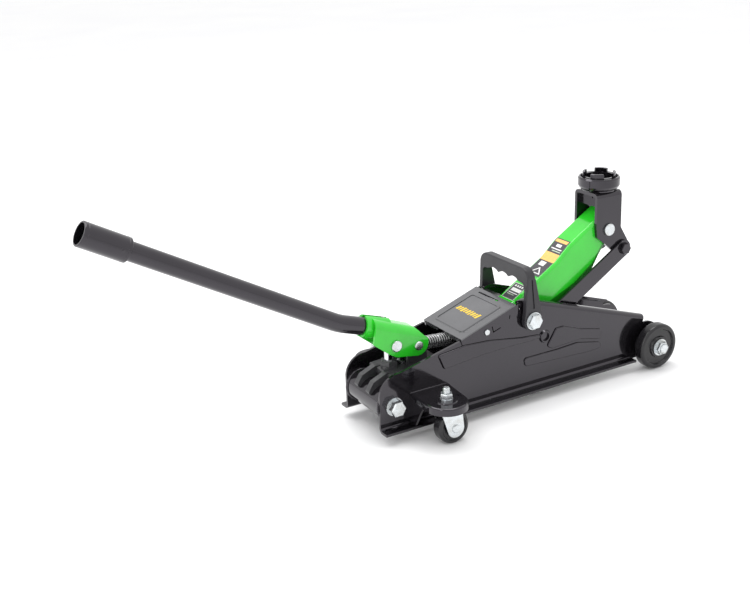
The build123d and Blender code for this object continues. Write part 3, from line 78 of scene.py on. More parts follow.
class Nodes:
    """A material's node tree, with short calls to add and join nodes."""

    def __init__(self, name):
        self.material = bpy.data.materials.new(name)
        self.material.use_nodes = True
        self.tree = self.material.node_tree
        self.shader = self.tree.nodes["Principled BSDF"]
        self.where = self.add("ShaderNodeTexCoord").outputs["Object"]

    def add(self, kind, **values):
        node = self.tree.nodes.new(kind)
        for key, value in values.items():
            setattr(node, key, value)
        return node

    def join(self, source, target):
        self.tree.links.new(source, target)

    def noise(self, scale, detail=3.0, roughness=0.5, stretch=None):
        node = self.add("ShaderNodeTexNoise")
        node.inputs["Scale"].default_value = scale
        node.inputs["Detail"].default_value = detail
        node.inputs["Roughness"].default_value = roughness
        source = self.where
        if stretch:
            mapping = self.add("ShaderNodeMapping")
            mapping.inputs["Scale"].default_value = stretch
            self.join(source, mapping.inputs["Vector"])
            source = mapping.outputs["Vector"]
        self.join(source, node.inputs["Vector"])
        return node.outputs["Fac"]

    def spread(self, source, low, high, start=0.3, end=0.7):
        """A value mapped from start..end to low..high."""
        node = self.add("ShaderNodeMapRange")
        node.inputs["From Min"].default_value = start
        node.inputs["From Max"].default_value = end
        node.inputs["To Min"].default_value = low
        node.inputs["To Max"].default_value = high
        self.join(source, node.inputs["Value"])
        return node.outputs["Result"]

    def mix(self, amount, first, second):
        """A colour between two, each a socket or an RGB triple."""
        node = self.add("ShaderNodeMix", data_type="RGBA")
        for value, socket in ((amount, node.inputs[0]), (first, node.inputs[6]), (second, node.inputs[7])):
            if isinstance(value, bpy.types.NodeSocket):
                self.join(value, socket)
            elif isinstance(value, float):
                socket.default_value = value
            else:
                socket.default_value = (*value, 1)
        return node.outputs[2]

    def calc(self, operation, first, second=0.0):
        node = self.add("ShaderNodeMath", operation=operation)
        for value, socket in ((first, node.inputs[0]), (second, node.inputs[1])):
            if isinstance(value, bpy.types.NodeSocket):
                self.join(value, socket)
            else:
                socket.default_value = value
        return node.outputs[0]

    def along(self, direction, origin):
        """The distance along a direction from a point, in metres."""
        shift = self.add("ShaderNodeVectorMath", operation="SUBTRACT")
        shift.inputs[1].default_value = origin
        self.join(self.where, shift.inputs[0])
        dot = self.add("ShaderNodeVectorMath", operation="DOT_PRODUCT")
        dot.inputs[1].default_value = direction
        self.join(shift.outputs[0], dot.inputs[0])
        return dot.outputs["Value"]

    def colour(self, source):
        if isinstance(source, bpy.types.NodeSocket):
            self.join(source, self.shader.inputs["Base Color"])
        else:
            self.shader.inputs["Base Color"].default_value = (*source, 1)

    def rough(self, source):
        if isinstance(source, bpy.types.NodeSocket):
            self.join(source, self.shader.inputs["Roughness"])
        else:
            self.shader.inputs["Roughness"].default_value = source

    def bump(self, source, height_mm, under=None):
        node = self.add("ShaderNodeBump")
        node.inputs["Strength"].default_value = 1.0
        node.inputs["Distance"].default_value = height_mm * MM
        self.join(source, node.inputs["Height"])
        if under is not None:
            self.join(under, node.inputs["Normal"])
        self.join(node.outputs["Normal"], self.shader.inputs["Normal"])
        return node.outputs["Normal"]

    def fixed(self, **values):
        for name, value in values.items():
            self.shader.inputs[name.replace("_", " ")].default_value = value


def sprayed_paint(name, colour, lighter, shine=0.10, coat=0.0, sheen=(1.0, 1.0, 1.0)):
    """Sprayed gloss enamel: slight orange peel, soft handling haze, a few nibs of dust."""
    m = Nodes(name)
    haze = m.noise(28, 4, 0.6)
    m.colour(m.mix(m.spread(haze, 0.0, 1.0, 0.35, 0.75), colour, lighter))
    smear = m.spread(m.noise(60, 5, 0.65), shine, shine + 0.08, 0.4, 0.75)
    m.rough(smear)
    waves = m.bump(m.noise(75, 2, 0.4), 0.05)
    peel = m.bump(m.noise(420, 2, 0.45), 0.006, waves)
    nibs = m.spread(m.noise(2600, 1, 0.4), 0.0, 1.0, 0.74, 0.8)
    m.bump(nibs, 0.006, peel)
    m.fixed(Coat_Weight=coat, Coat_Roughness=0.04, Specular_IOR_Level=0.6, Specular_Tint=(*sheen, 1))
    return m


def black_paint(finish):
    base = Vector(finish.body_colour)
    lighter = tuple(base * 1.5 + Vector((0.001, 0.001, 0.001)))
    return sprayed_paint("black_enamel", tuple(base), lighter, 0.08, 0.25, (0.95, 0.89, 1.0)).material


def green_paint(finish):
    base = Vector(finish.arm_colour)
    shade = base * 0.86
    return sprayed_paint("green_enamel", tuple(shade), tuple(base), 0.14, 0.3).material


def arm_paint(finish):
    """Green enamel, with a painted dark band along the folded lower edge of the arm: painted shade and
    painted reflection of the dark frame where the edge turns down.
    """
    base = Vector(finish.arm_colour)
    m = sprayed_paint("arm_enamel", tuple(base), tuple(base * 1.12), 0.14, 0.4)
    along = m.along(ARM_ALONG, PIVOT)
    up = m.along(ARM_UP, PIVOT)
    # the fold's line, as the highest of three slopes: (offset, slope) against the distance along
    fold = None
    for offset, slope in ((-0.01436, -0.145), (-0.03460, 0.089), (-0.07838, 0.454)):
        line = m.calc("ADD", m.calc("MULTIPLY", along, slope), offset)
        fold = line if fold is None else m.calc("MAXIMUM", fold, line)
    gap = m.calc("SUBTRACT", fold, up)
    # painted shade: a dark band under the fold line, from 30 mm along the arm, stands for shade and dark
    # reflection on the down-turned edge
    painted_shade_band = m.spread(gap, 0.0, 1.0, -0.0004, 0.0006)
    painted_shade_band = m.calc("MULTIPLY", painted_shade_band, m.spread(along, 0.0, 1.0, 0.030, 0.045))
    plain = m.shader.inputs["Base Color"].links[0].from_socket
    m.colour(m.mix(painted_shade_band, plain, tuple(base * 0.36)))
    return m.material


def zinc_plate(finish):
    """Bright zinc: mottled, faintly yellow in places, fine turning lines."""
    m = Nodes("zinc_plate")
    mottle = m.noise(120, 4, 0.6)
    m.colour(m.mix(m.spread(mottle, 0.0, 1.0), (0.70, 0.74, 0.77), (0.56, 0.57, 0.56)))
    m.rough(m.spread(m.noise(420, 4, 0.6), 0.20, 0.34))
    m.bump(m.noise(900, 2, 0.5), 0.004)
    m.fixed(Metallic=1.0)
    return m.material


def bare_steel(finish):
    """Turned or drawn steel with fine lines and a little tarnish."""
    m = Nodes("bare_steel")
    tarnish = m.noise(70, 5, 0.65)
    m.colour(m.mix(m.spread(tarnish, 0.0, 1.0, 0.45, 0.75), (0.56, 0.56, 0.57), (0.33, 0.31, 0.29)))
    lines = m.noise(900, 2, 0.5, (1.0, 0.12, 1.0))
    m.rough(m.spread(lines, 0.26, 0.46))
    m.bump(lines, 0.012)
    m.fixed(Metallic=1.0)
    return m.material


def dark_spring(finish):
    """Oiled spring wire."""
    m = Nodes("spring_wire")
    m.colour(m.mix(m.spread(m.noise(260, 3), 0.0, 1.0), (0.40, 0.40, 0.41), (0.24, 0.24, 0.24)))
    m.rough(m.spread(m.noise(500, 3), 0.20, 0.34))
    m.bump(m.noise(1400, 2), 0.006)
    m.fixed(Metallic=0.9)
    return m.material


def hard_chrome(finish):
    """Ground and chromed rod."""
    m = Nodes("hard_chrome")
    film = m.noise(45, 4, 0.6)
    m.colour(m.mix(m.spread(film, 0.0, 1.0), (0.84, 0.85, 0.87), (0.70, 0.71, 0.74)))
    m.rough(m.spread(film, 0.05, 0.16))
    m.bump(m.noise(1800, 1), 0.003)
    m.fixed(Metallic=1.0)
    return m.material


def painted_casting(finish):
    """A sand casting under black paint: pitted, with worn high spots."""
    m = Nodes("painted_casting")
    grain = m.noise(330, 5, 0.65)
    m.colour(m.mix(m.spread(m.noise(40, 5), 0.0, 1.0), (0.022, 0.022, 0.025), (0.05, 0.05, 0.053)))
    m.rough(m.spread(grain, 0.28, 0.55))
    coarse = m.bump(m.noise(120, 3, 0.5), 0.25)
    m.bump(grain, 0.12, coarse)
    m.fixed(Specular_IOR_Level=0.5, Coat_Weight=0.15, Coat_Roughness=0.2)
    return m.material


def grip_plastic(finish):
    """Moulded black plastic with a fine spark-eroded texture."""
    m = Nodes("grip_plastic")
    base = Vector(finish.plastic_colour)
    m.colour(m.mix(m.spread(m.noise(35, 3), 0.0, 1.0), tuple(base), tuple(base * 1.5)))
    m.rough(m.spread(m.noise(800, 3), 0.30, 0.42))
    m.bump(m.noise(2300, 2, 0.6), 0.04)
    m.fixed(Specular_IOR_Level=0.45)
    return m.material


def wheel_plastic(finish):
    """Hard black wheel plastic, scuffed where it rolls."""
    m = Nodes("wheel_plastic")
    base = Vector(finish.plastic_colour) * 0.35
    m.colour(m.mix(m.spread(m.noise(50, 4), 0.0, 1.0), tuple(base), tuple(base * 1.8)))
    m.rough(m.spread(m.noise(160, 5, 0.6), 0.14, 0.28))
    m.bump(m.noise(500, 2), 0.006)
    m.fixed(Specular_IOR_Level=0.5)
    return m.material


def seal_rubber(finish):
    m = Nodes("seal_rubber")
    m.colour(m.mix(m.spread(m.noise(120), 0.0, 1.0), (0.02, 0.02, 0.02), (0.035, 0.035, 0.035)))
    m.rough(m.spread(m.noise(300), 0.6, 0.8))
    m.bump(m.noise(900), 0.02)
    return m.material


def cover_paint(finish):
    """Black cover enamel, its colour painted lighter than the plates' black as a painted reflection of the
    bright surround on its upward slope, and lightly dusty.
    """
    m = Nodes("cover_enamel")
    dust = m.noise(22, 5, 0.6)
    # painted reflection: both greys sit well above the plates' black to stand for the bright surround seen in
    # the sloping cover; the noise between them is dust
    m.colour(m.mix(m.spread(dust, 0.0, 1.0), (0.060, 0.060, 0.066), (0.085, 0.085, 0.092)))
    m.rough(m.spread(m.noise(75, 4), 0.16, 0.26))
    m.bump(m.noise(420, 2), 0.004)
    m.fixed(Coat_Weight=0.7, Coat_Roughness=0.08)
    return m.material


def label_ink(name, colour, worn):
    """Printed vinyl film."""
    m = Nodes(name)
    m.colour(m.mix(m.spread(m.noise(340, 4, 0.6), 0.0, 1.0, 0.45, 0.8), colour, worn))
    m.rough(m.spread(m.noise(120, 3), 0.3, 0.45))
    m.bump(m.noise(700, 2), 0.01)
    return m.material


def studio_floor(finish):
    m = Nodes("pale_floor")
    m.colour(m.mix(m.spread(m.noise(3, 2), 0.0, 1.0), (0.86, 0.86, 0.87), (0.88, 0.88, 0.88)))
    m.rough(0.75)
    m.fixed(Specular_IOR_Level=0.2)
    return m.material


# every maker takes the finish settings, whether or not it has a colour there
MAKERS = {
    "black": black_paint,
    "green": green_paint,
    "arm": arm_paint,
    "zinc": zinc_plate,
    "steel": bare_steel,
    "spring": dark_spring,
    "chrome": hard_chrome,
    "casting": painted_casting,
    "grip": grip_plastic,
    "wheel": wheel_plastic,
    "seal": seal_rubber,
    "cover": cover_paint,
    "floor": studio_floor,
}

FINISH_OF = {
    "black": (
        "side_plate_right side_plate_left rear_cross_tube front_axle_collars caster_bracket_right "
        "caster_bracket_left reservoir_tube saddle_bracket link_bars link_top_bolt link_low_pins saddle "
        "handle_tube handle_sleeve"
    ),
    "arm": "lift_arm",
    "green": "arm_pivot_tube handle_socket",
    "zinc": (
        "rear_bolts front_axle front_axle_nuts cover_screws caster_studs washers caster_nuts "
        "caster_fork_right caster_fork_left caster_axle_right caster_axle_left filler_plug "
        "release_gland release_valve bracket_pin carry_handle_bolts socket_pins spring_anchor_pin"
    ),
    "steel": (
        "caster_bearings check_balls cylinder_tube cylinder_gland ram_head arm_pivot_shaft arm_spacers "
        "arm_pins lever_roller saddle_clip plunger_roller"
    ),
    "spring": "return_spring",
    "chrome": "ram pump_plunger",
    "casting": "pump_block pump_gland",
    "grip": "carry_handle",
    "wheel": "front_wheel_right front_wheel_left caster_wheel_right caster_wheel_left",
    "seal": "pump_seal ram_seal",
    "cover": "cover_plate",
}


def finish_named(kind):
    """The material of that kind, made once."""
    store = bpy.context.scene.jack_store
    known = {row.name: row.material for row in store.materials}
    if kind not in known:
        row = store.materials.add()
        row.name = kind
        row.material = MAKERS[kind](bpy.context.scene.jack_finish)
        return row.material
    return known[kind]


# ---------------------------------------------------------------- mesh building


def mesh_piece(name, mesh, body, materials, smooth=True):
    """A new object from a bmesh, riding on a body."""
    bmesh.ops.recalc_face_normals(mesh, faces=mesh.faces[:])
    data = bpy.data.meshes.new(name)
    mesh.to_mesh(data)
    mesh.free()
    for material in materials:
        data.materials.append(material)
    for face in data.polygons:
        face.use_smooth = smooth
    piece = bpy.data.objects.new(name, data)
    bpy.context.scene.collection.objects.link(piece)
    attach(piece, body)
    return piece


def swept_tube(mesh, path, radius, sides=10, ripple=None):
    """A tube along points, closed at both ends; ripple gives each point its own radius factor."""
    rings = []
    across = None
    for i, point in enumerate(path):
        before, after = path[max(i - 1, 0)], path[min(i + 1, len(path) - 1)]
        ahead = (after - before).normalized()
        if across is None:
            across = ahead.orthogonal().normalized()
        across = (across - ahead * across.dot(ahead)).normalized()
        other = ahead.cross(across)
        size = radius * (ripple(i) if ripple else 1.0)
        ring = []
        for k in range(sides):
            turn = tau * k / sides
            ring.append(mesh.verts.new(point + (across * cos(turn) + other * sin(turn)) * size))
        rings.append(ring)
    for first, second in zip(rings, rings[1:]):
        for k in range(sides):
            mesh.faces.new((first[k], first[(k + 1) % sides], second[(k + 1) % sides], second[k]))
    mesh.faces.new(reversed(rings[0]))
    mesh.faces.new(rings[-1])


def helix(centre, axis, radius, length, turns, per_turn=24):
    """Points of a helix that starts at centre and climbs along axis."""
    axis = axis.normalized()
    across = axis.orthogonal().normalized()
    other = axis.cross(across)
    points = []
    for i in range(int(turns * per_turn) + 1):
        turn = tau * i / per_turn
        climb = length * i / (turns * per_turn)
        points.append(centre + axis * climb + (across * cos(turn) + other * sin(turn)) * radius)
    return points


def film(mesh, place, outline, low, high, material_index):
    """A thin slab over a polygon outline given as (along, across); place lifts it on to the surface."""
    bottom = [mesh.verts.new(place(a, b, low)) for a, b in outline]
    top = [mesh.verts.new(place(a, b, high)) for a, b in outline]
    faces = [mesh.faces.new(top), mesh.faces.new(list(reversed(bottom)))]
    count = len(outline)
    for i in range(count):
        j = (i + 1) % count
        faces.append(mesh.faces.new((bottom[i], bottom[j], top[j], top[i])))
    for face in faces:
        face.material_index = material_index


# ---------------------------------------------------------------- labels


def arm_top(along):
    """Height of the arm's top skin over its pivot line, in metres, at a distance along it."""
    flat, raised = 0.015, 0.020
    start, end = 0.078, 0.106
    if along <= start:
        return flat
    if along >= end:
        return raised
    return flat + (raised - flat) * (along - start) / (end - start)


def on_arm_top(along, across, lift):
    return PIVOT + ARM_ALONG * along + ARM_UP * (arm_top(along) + lift) + Vector((0, across, 0))


def arm_strip(mesh, start, end, low_y, high_y, low, high, material_index):
    """A film on the arm's top, divided where the skin bends."""
    stops = [start] + [s for s in (0.0745, 0.078, 0.0815, 0.1025, 0.106, 0.1095) if start < s < end] + [end]
    rings = []
    for along in stops:
        rings.append([
            mesh.verts.new(on_arm_top(along, low_y, low)),
            mesh.verts.new(on_arm_top(along, high_y, low)),
            mesh.verts.new(on_arm_top(along, high_y, high)),
            mesh.verts.new(on_arm_top(along, low_y, high)),
        ])
    faces = [mesh.faces.new(reversed(rings[0])), mesh.faces.new(rings[-1])]
    for first, second in zip(rings, rings[1:]):
        for k in range(4):
            faces.append(mesh.faces.new((first[k], first[(k + 1) % 4], second[(k + 1) % 4], second[k])))
    for face in faces:
        face.material_index = material_index


def label_films(finish):
    return [
        label_ink("label_black", (0.035, 0.033, 0.04), (0.06, 0.058, 0.065)),
        label_ink("label_white", (0.80, 0.80, 0.79), (0.66, 0.66, 0.65)),
        label_ink("label_amber", tuple(finish.label_colour), tuple(Vector(finish.label_colour) * 0.85)),
        label_ink("label_edge", (0.50, 0.62, 0.46), (0.42, 0.52, 0.40)),
    ]


class JACK_OT_arm_labels(bpy.types.Operator):
    """Stick two labels with plain colour blocks on top of the lift arm"""

    bl_idname = "jack.arm_labels"
    bl_label = "Arm Labels"

    def execute(self, context):
        films = label_films(context.scene.jack_finish)
        base, print_low, print_high = 0.00016, 0.00010, 0.00024
        mm = MM
        front = bmesh.new()
        arm_strip(front, 49 * mm, 110 * mm, -12.6 * mm, 12.6 * mm, 0.00002, base, 0)
        arm_strip(front, 104 * mm, 108.5 * mm, -11 * mm, 11 * mm, print_low, print_high, 2)
        arm_strip(front, 97.5 * mm, 101.5 * mm, -5 * mm, 4 * mm, print_low, print_high, 1)
        arm_strip(front, 93.5 * mm, 95 * mm, -10 * mm, 9 * mm, print_low, print_high, 1)
        arm_strip(front, 90.5 * mm, 91.6 * mm, -10 * mm, 5 * mm, print_low, print_high, 3)
        arm_strip(front, 75 * mm, 88 * mm, -12.6 * mm, 12.6 * mm, print_low, print_high, 2)
        arm_strip(front, 66 * mm, 73 * mm, -3 * mm, 7 * mm, print_low, print_high, 1)
        # a plain triangle outline
        corners = (Vector((63.5, -1.0)), Vector((52.5, 8.2)), Vector((52.5, -10.2)))
        heart = sum(corners, Vector((0, 0))) / 3
        for k in range(3):
            a, b = corners[k], corners[(k + 1) % 3]
            inner_a, inner_b = heart + (a - heart) * 0.66, heart + (b - heart) * 0.66
            outline = [(p.x * mm, p.y * mm) for p in (a, b, inner_b, inner_a)]
            film(front, on_arm_top, outline, print_low, print_high, 1)
        mesh_piece("arm_label_front", front, "arm", films, smooth=False)
        rear = bmesh.new()
        arm_strip(rear, 4.5 * mm, 30.5 * mm, -11.4 * mm, 11.4 * mm, 0.00002, base, 3)
        arm_strip(rear, 5.3 * mm, 29.7 * mm, -10.6 * mm, 10.6 * mm, print_low, 0.0002, 0)
        arm_strip(rear, 17.5 * mm, 22.5 * mm, -10 * mm, 7.5 * mm, 0.00015, print_high, 1)
        for k in range(4):
            start = (7.5 - 4.2 * k) * mm
            arm_strip(rear, 24.8 * mm, 27.6 * mm, start - 2.6 * mm, start, 0.00015, print_high, 1)
        arm_strip(rear, 14.2 * mm, 15.2 * mm, -9 * mm, 8 * mm, 0.00015, print_high, 1)
        arm_strip(rear, 11.6 * mm, 12.3 * mm, -5 * mm, 8 * mm, 0.00015, print_high, 3)
        mesh_piece("arm_label_rear", rear, "arm", films, smooth=False)
        return {"FINISHED"}


class JACK_OT_cover_badge(bpy.types.Operator):
    """Put a plain row of slanted bars on the cover's raised panel"""

    bl_idname = "jack.cover_badge"
    bl_label = "Cover Badge"

    def execute(self, context):
        finish = context.scene.jack_finish
        # the cover's slope, as its run forwards and upwards
        along = Vector((78.2, 0, 26.6)).normalized()
        up = Vector((-along.z, 0, along.x))
        low, high = low_of("cover_plate"), high_of("cover_plate")
        rear = Vector((PIVOT.x - 0.0995, 0, PIVOT.z - 0.0035))
        yellow = Vector(finish.badge_colour)
        ink = label_ink("badge_yellow", tuple(yellow), tuple(yellow * 0.8))

        def place(a, b, lift):
            return rear + along * a + up * (lift + 0.0008) + Vector((0, b, 0))

        mesh = bmesh.new()
        bars = 9
        badge_middle = 0.0405
        lean = 1.1 * MM
        for k in range(bars):
            across = (-19.5 + 39.0 * k / (bars - 1)) * MM
            width = 1.25 * MM if k % 2 else 1.75 * MM
            tall = 3.4 * MM if k % 3 else 4.2 * MM
            outline = [
                (badge_middle - tall, across - width + lean),
                (badge_middle - tall, across + width + lean),
                (badge_middle + tall, across + width - lean),
                (badge_middle + tall, across - width - lean),
            ]
            film(mesh, place, outline, 0.00001, 0.00016, 0)
        if not low.x < rear.x + 0.04 < high.x:
            raise RuntimeError("the badge is off the cover")
        mesh_piece("cover_badge", mesh, "frame", [ink], smooth=False)
        return {"FINISHED"}


# ---------------------------------------------------------------- small metal details


class JACK_OT_threads(bpy.types.Operator):
    """Cut-looking threads on the caster studs and the ends of the front axle"""

    bl_idname = "jack.threads"
    bl_label = "Threads"

    def execute(self, context):
        zinc = finish_named("zinc")
        mesh = bmesh.new()
        studs_low, studs_high = low_of("caster_studs"), high_of("caster_studs")
        nut_top = high_of("caster_nuts").z
        stud_x = (studs_low.x + studs_high.x) / 2
        stud_y = studs_high.y - 0.007
        room = studs_high.z - nut_top - 0.0012
        for side in (-1, 1):
            start = Vector((stud_x, side * stud_y, nut_top + 0.0003))
            turns = room / 0.00115
            swept_tube(mesh, helix(start, Vector((0, 0, 1)), 0.0040, room, turns), 0.00032, 6)
        mesh_piece("stud_threads", mesh, "frame", [zinc])
        ends = bmesh.new()
        axle = high_of("front_axle")
        centre = middle("front_axle")
        nut_out = high_of("front_axle_nuts").y
        room = axle.y - nut_out - 0.0006
        for side in (-1, 1):
            start = Vector((centre.x, side * (nut_out + 0.0001), centre.z))
            swept_tube(ends, helix(start, Vector((0, side, 0)), 0.0057, room, 1.4), 0.0003, 6)
        mesh_piece("axle_threads", ends, "frame", [zinc])
        return {"FINISHED"}


class JACK_OT_weld_beads(bpy.types.Operator):
    """Rippled weld beads where the caster shelves and the rear tube meet the side plates"""

    bl_idname = "jack.weld_beads"
    bl_label = "Weld Beads"

    def execute(self, context):
        black = finish_named("black")
        rng = random.Random(7)
        for side, name in ((-1, "right"), (1, "left")):
            mesh = bmesh.new()
            low, high = low_of(f"caster_bracket_{name}"), high_of(f"caster_bracket_{name}")
            plate = high_of("side_plate_left").y - 0.013
            steps = 120
            path = []
            for i in range(steps + 1):
                x = low.x + 0.0012 + (high.x - low.x - 0.0024) * i / steps
                path.append(Vector((x, side * (plate + 0.0003), high.z - 0.0021 + 0.00012 * rng.random())))

            def ripple(i, last=steps):
                return (0.25 if i in (0, last) else 1.0) * (1.0 + 0.13 * sin(i * tau / 5.0))

            swept_tube(mesh, path, 0.0016, 10, ripple)
            mesh_piece(f"shelf_weld_{name}", mesh, "frame", [black])
            ring = bmesh.new()
            tube = middle("rear_cross_tube")
            radius = 0.019 + 0.0004
            wall = high_of("rear_cross_tube").y
            last_bead = 216
            circle = []
            for i in range(last_bead + 1):
                turn = radians(100 + 240 * i / last_bead)
                circle.append(Vector((
                    tube.x + radius * cos(turn),
                    side * (wall - 0.0006),
                    tube.z + radius * sin(turn),
                )))

            def bead(i, last=last_bead):
                return (0.3 if i in (0, last) else 1.0) * (1 + 0.14 * sin(i * tau / 6))

            swept_tube(ring, circle, 0.0014, 8, bead)
            mesh_piece(f"tube_weld_{name}", ring, "frame", [black])
        return {"FINISHED"}


class JACK_OT_handle_rings(bpy.types.Operator):
    """Rolled ring and a punched rivet where the sleeve grips the handle tube"""

    bl_idname = "jack.handle_rings"
    bl_label = "Handle Rings"

    def execute(self, context):
        black = finish_named("black")
        low, high = low_of("handle_sleeve"), high_of("handle_sleeve")
        tube_low = low_of("handle_tube")
        radius = (high.y - low.y) / 2
        span = Vector((high.x - low.x, 0, high.z - low.z))
        # the sleeve's slope, from its length and its box
        slope = radians(29.5)
        away = Vector((cos(slope), 0, -sin(slope)))
        mouth = (low + high) / 2 - away * 0.026
        inner = (low + high) / 2 + away * 0.026
        inner.y = mouth.y = 0.0
        mesh = bmesh.new()
        for centre in (inner - away * 0.0036, mouth + away * 0.0046):
            path = helix(centre, away, radius - 0.00025, 0.0, 1, 64)
            swept_tube(mesh, path, 0.00045, 8)
        if span.length < 0.05 or tube_low.x < mouth.x:
            raise RuntimeError("the sleeve isn't where its rings expect it")
        mesh_piece("sleeve_rings", mesh, "handle", [black])
        rivet = bmesh.new()
        seat = inner - away * 0.009 + Vector((0, -radius, 0))
        rings = []
        for step in range(6):
            turn = pi / 2 * step / 6
            ring = []
            for k in range(20):
                spin = tau * k / 20
                side = away * cos(spin) + Vector((away.z, 0, -away.x)) * sin(spin)
                ring.append(rivet.verts.new(
                    seat + side * (0.0021 * cos(turn)) + Vector((0, 0.0006 - 0.0010 * sin(turn), 0))
                ))
            rings.append(ring)
        for first, second in zip(rings, rings[1:]):
            for k in range(20):
                rivet.faces.new((first[k], first[(k + 1) % 20], second[(k + 1) % 20], second[k]))
        rivet.faces.new(rings[-1])
        rivet.faces.new(reversed(rings[0]))
        mesh_piece("sleeve_rivet", rivet, "handle", [black])
        return {"FINISHED"}


class JACK_OT_finishes(bpy.types.Operator):
    """Give every steel, painted and plastic part its finish"""

    bl_idname = "jack.finishes"
    bl_label = "Finishes"

    def execute(self, context):
        given = set()
        for kind, names in FINISH_OF.items():
            material = finish_named(kind)
            for name in names.split():
                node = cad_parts[name]
                for socket in node.material_slots:
                    socket.link = "OBJECT"
                    socket.material = material
                given.add(name)
        missing = set(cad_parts) - given
        if missing:
            raise RuntimeError(f"no finish for {sorted(missing)}")
        return {"FINISHED"}


# ---------------------------------------------------------------- stage


def area_light(name, where, towards, size, power, colour=(1, 1, 1)):
    data = bpy.data.lights.new(name, "AREA")
    data.shape = "RECTANGLE"
    data.size, data.size_y = size
    data.energy = power
    data.color = colour
    light = bpy.data.objects.new(name, data)
    bpy.context.scene.collection.objects.link(light)
    light.location = where
    light.rotation_euler = (Vector(towards) - Vector(where)).to_track_quat("-Z", "Y").to_euler()
    return light


class JACK_OT_stage(bpy.types.Operator):
    """Lay a pale floor, hang soft studio lights and set the camera"""

    bl_idname = "jack.stage"
    bl_label = "Stage"

    def execute(self, context):
        scene = context.scene
        stage = scene.jack_stage
        half = stage.floor_size / 2
        mesh = bmesh.new()
        corners = ((-half, -half), (half, -half), (half, half), (-half, half))
        mesh.faces.new([mesh.verts.new((x, y, -0.0002)) for x, y in corners])
        data = bpy.data.meshes.new("floor")
        mesh.to_mesh(data)
        mesh.free()
        floor = bpy.data.objects.new("floor", data)
        data.materials.append(finish_named("floor"))
        scene.collection.objects.link(floor)

        world = bpy.data.worlds.new("studio")
        world.use_nodes = True
        sky = world.node_tree.nodes["Background"]
        sky.inputs["Color"].default_value = (1.0, 1.0, 1.0, 1)
        sky.inputs["Strength"].default_value = stage.sky_strength
        scene.world = world
        scene.view_settings.view_transform = "Standard"

        power = stage.light_power
        area_light("key_softbox", (-0.5, 0.7, 1.8), (0, 0, 0.1), (1.4, 1.0), power)
        area_light("top_softbox", (0.5, 0.2, 2.0), (0.05, 0.0, 0.1), (1.2, 0.8), power * 0.8)
        area_light("side_strip", (-1.5, -0.9, 0.9), (0.0, 0.0, 0.1), (0.35, 1.3), power * 0.25)

        camera_data = bpy.data.cameras.new("camera")
        camera_data.sensor_width = 36.0
        camera_data.lens = stage.lens
        camera_data.clip_start = 0.05
        camera_data.clip_end = 20
        camera = bpy.data.objects.new("camera", camera_data)
        scene.collection.objects.link(camera)
        eye = Vector((-0.6415, -1.0527, 0.6020))
        target = Vector((-0.0346, 0.0120, 0.1477))
        ahead = (target - eye).normalized()
        right = ahead.cross(Vector((0, 0, 1))).normalized()
        up = right.cross(ahead)
        roll = stage.roll
        tilted_right = right * cos(roll) + up * sin(roll)
        tilted_up = up * cos(roll) - right * sin(roll)
        turn = Matrix((tilted_right, tilted_up, -ahead)).transposed().to_4x4()
        camera.matrix_world = Matrix.Translation(eye) @ turn
        scene.camera = camera
        return {"FINISHED"}


# ---------------------------------------------------------------- settings and panel


class JackFinish(bpy.types.PropertyGroup):
    body_colour: bpy.props.FloatVectorProperty(
        name="Body Paint", description="Colour of the frame, bracket and handle", subtype="COLOR", size=3,
        min=0.0, max=1.0, default=(0.0045, 0.0040, 0.0050),
    )
    arm_colour: bpy.props.FloatVectorProperty(
        name="Arm Paint", description="Colour of the lift arm and the handle socket", subtype="COLOR", size=3,
        min=0.0, max=1.0, default=(0.022, 0.520, 0.020),
    )
    plastic_colour: bpy.props.FloatVectorProperty(
        name="Plastic", description="Colour of the carry handle and the wheels", subtype="COLOR", size=3,
        min=0.0, max=1.0, default=(0.018, 0.017, 0.020),
    )
    badge_colour: bpy.props.FloatVectorProperty(
        name="Badge", description="Colour of the bars on the cover", subtype="COLOR", size=3,
        min=0.0, max=1.0, default=(0.780, 0.520, 0.030),
    )
    label_colour: bpy.props.FloatVectorProperty(
        name="Label Block", description="Colour of the label blocks on the arm", subtype="COLOR", size=3,
        min=0.0, max=1.0, default=(0.900, 0.500, 0.130),
    )


class JackStage(bpy.types.PropertyGroup):
    floor_size: bpy.props.FloatProperty(
        name="Floor Size", description="Side of the square floor", unit="LENGTH", default=14.0, min=1.0,
    )
    light_power: bpy.props.FloatProperty(
        name="Light Power", description="Power of the main softbox", unit="POWER", default=15.0, min=0.0,
    )
    sky_strength: bpy.props.FloatProperty(
        name="Surround", description="Brightness of the white surround", default=1.12, min=0.0,
    )
    lens: bpy.props.FloatProperty(
        name="Lens", description="Focal length of the camera", unit="CAMERA", default=54.5, min=10.0,
    )
    roll: bpy.props.FloatProperty(
        name="Roll", description="Sideways lean of the camera", subtype="ANGLE", default=radians(-2.21),
    )


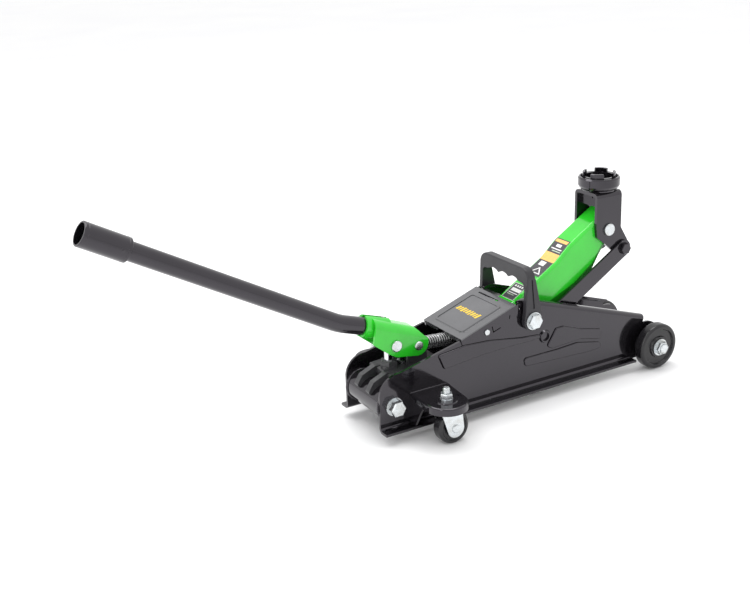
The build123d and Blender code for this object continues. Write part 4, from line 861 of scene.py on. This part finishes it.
class JackMaterialRow(bpy.types.PropertyGroup):
    material: bpy.props.PointerProperty(
        name="Material", description="A finish that has been made", type=bpy.types.Material,
    )


class JackStore(bpy.types.PropertyGroup):
    materials: bpy.props.CollectionProperty(
        name="Finishes", description="Finishes made so far, by kind", type=JackMaterialRow,
    )


OPERATORS = (
    JACK_OT_finishes,
    JACK_OT_arm_labels,
    JACK_OT_cover_badge,
    JACK_OT_threads,
    JACK_OT_weld_beads,
    JACK_OT_handle_rings,
    JACK_OT_stage,
)


class JACK_PT_panel(bpy.types.Panel):
    """Finishes, details and stage of the trolley jack"""

    bl_idname = "JACK_PT_panel"
    bl_label = "Trolley Jack"
    bl_space_type = "VIEW_3D"
    bl_region_type = "UI"
    bl_category = "Trolley Jack"

    def draw(self, context):
        scene = context.scene
        finish = scene.jack_finish
        for name in ("body_colour", "arm_colour", "plastic_colour", "badge_colour", "label_colour"):
            self.layout.prop(finish, name)
        stage = scene.jack_stage
        for name in ("floor_size", "light_power", "sky_strength", "lens", "roll"):
            self.layout.prop(stage, name)
        for operator in OPERATORS:
            self.layout.operator(operator.bl_idname)


CLASSES = (JackFinish, JackStage, JackMaterialRow, JackStore, *OPERATORS, JACK_PT_panel)


def register():
    for cls in CLASSES:
        bpy.utils.register_class(cls)
    bpy.types.Scene.jack_finish = bpy.props.PointerProperty(type=JackFinish)
    bpy.types.Scene.jack_stage = bpy.props.PointerProperty(type=JackStage)
    bpy.types.Scene.jack_store = bpy.props.PointerProperty(type=JackStore)


def unregister():
    del bpy.types.Scene.jack_store
    del bpy.types.Scene.jack_stage
    del bpy.types.Scene.jack_finish
    for cls in reversed(CLASSES):
        bpy.utils.unregister_class(cls)


def main():
    register()
    bpy.ops.jack.finishes()
    bpy.ops.jack.arm_labels()
    bpy.ops.jack.cover_badge()
    bpy.ops.jack.threads()
    bpy.ops.jack.weld_beads()
    bpy.ops.jack.handle_rings()
    bpy.ops.jack.stage()
    bpy.context.view_layer.update()


if __name__ == "__main__":
    main()
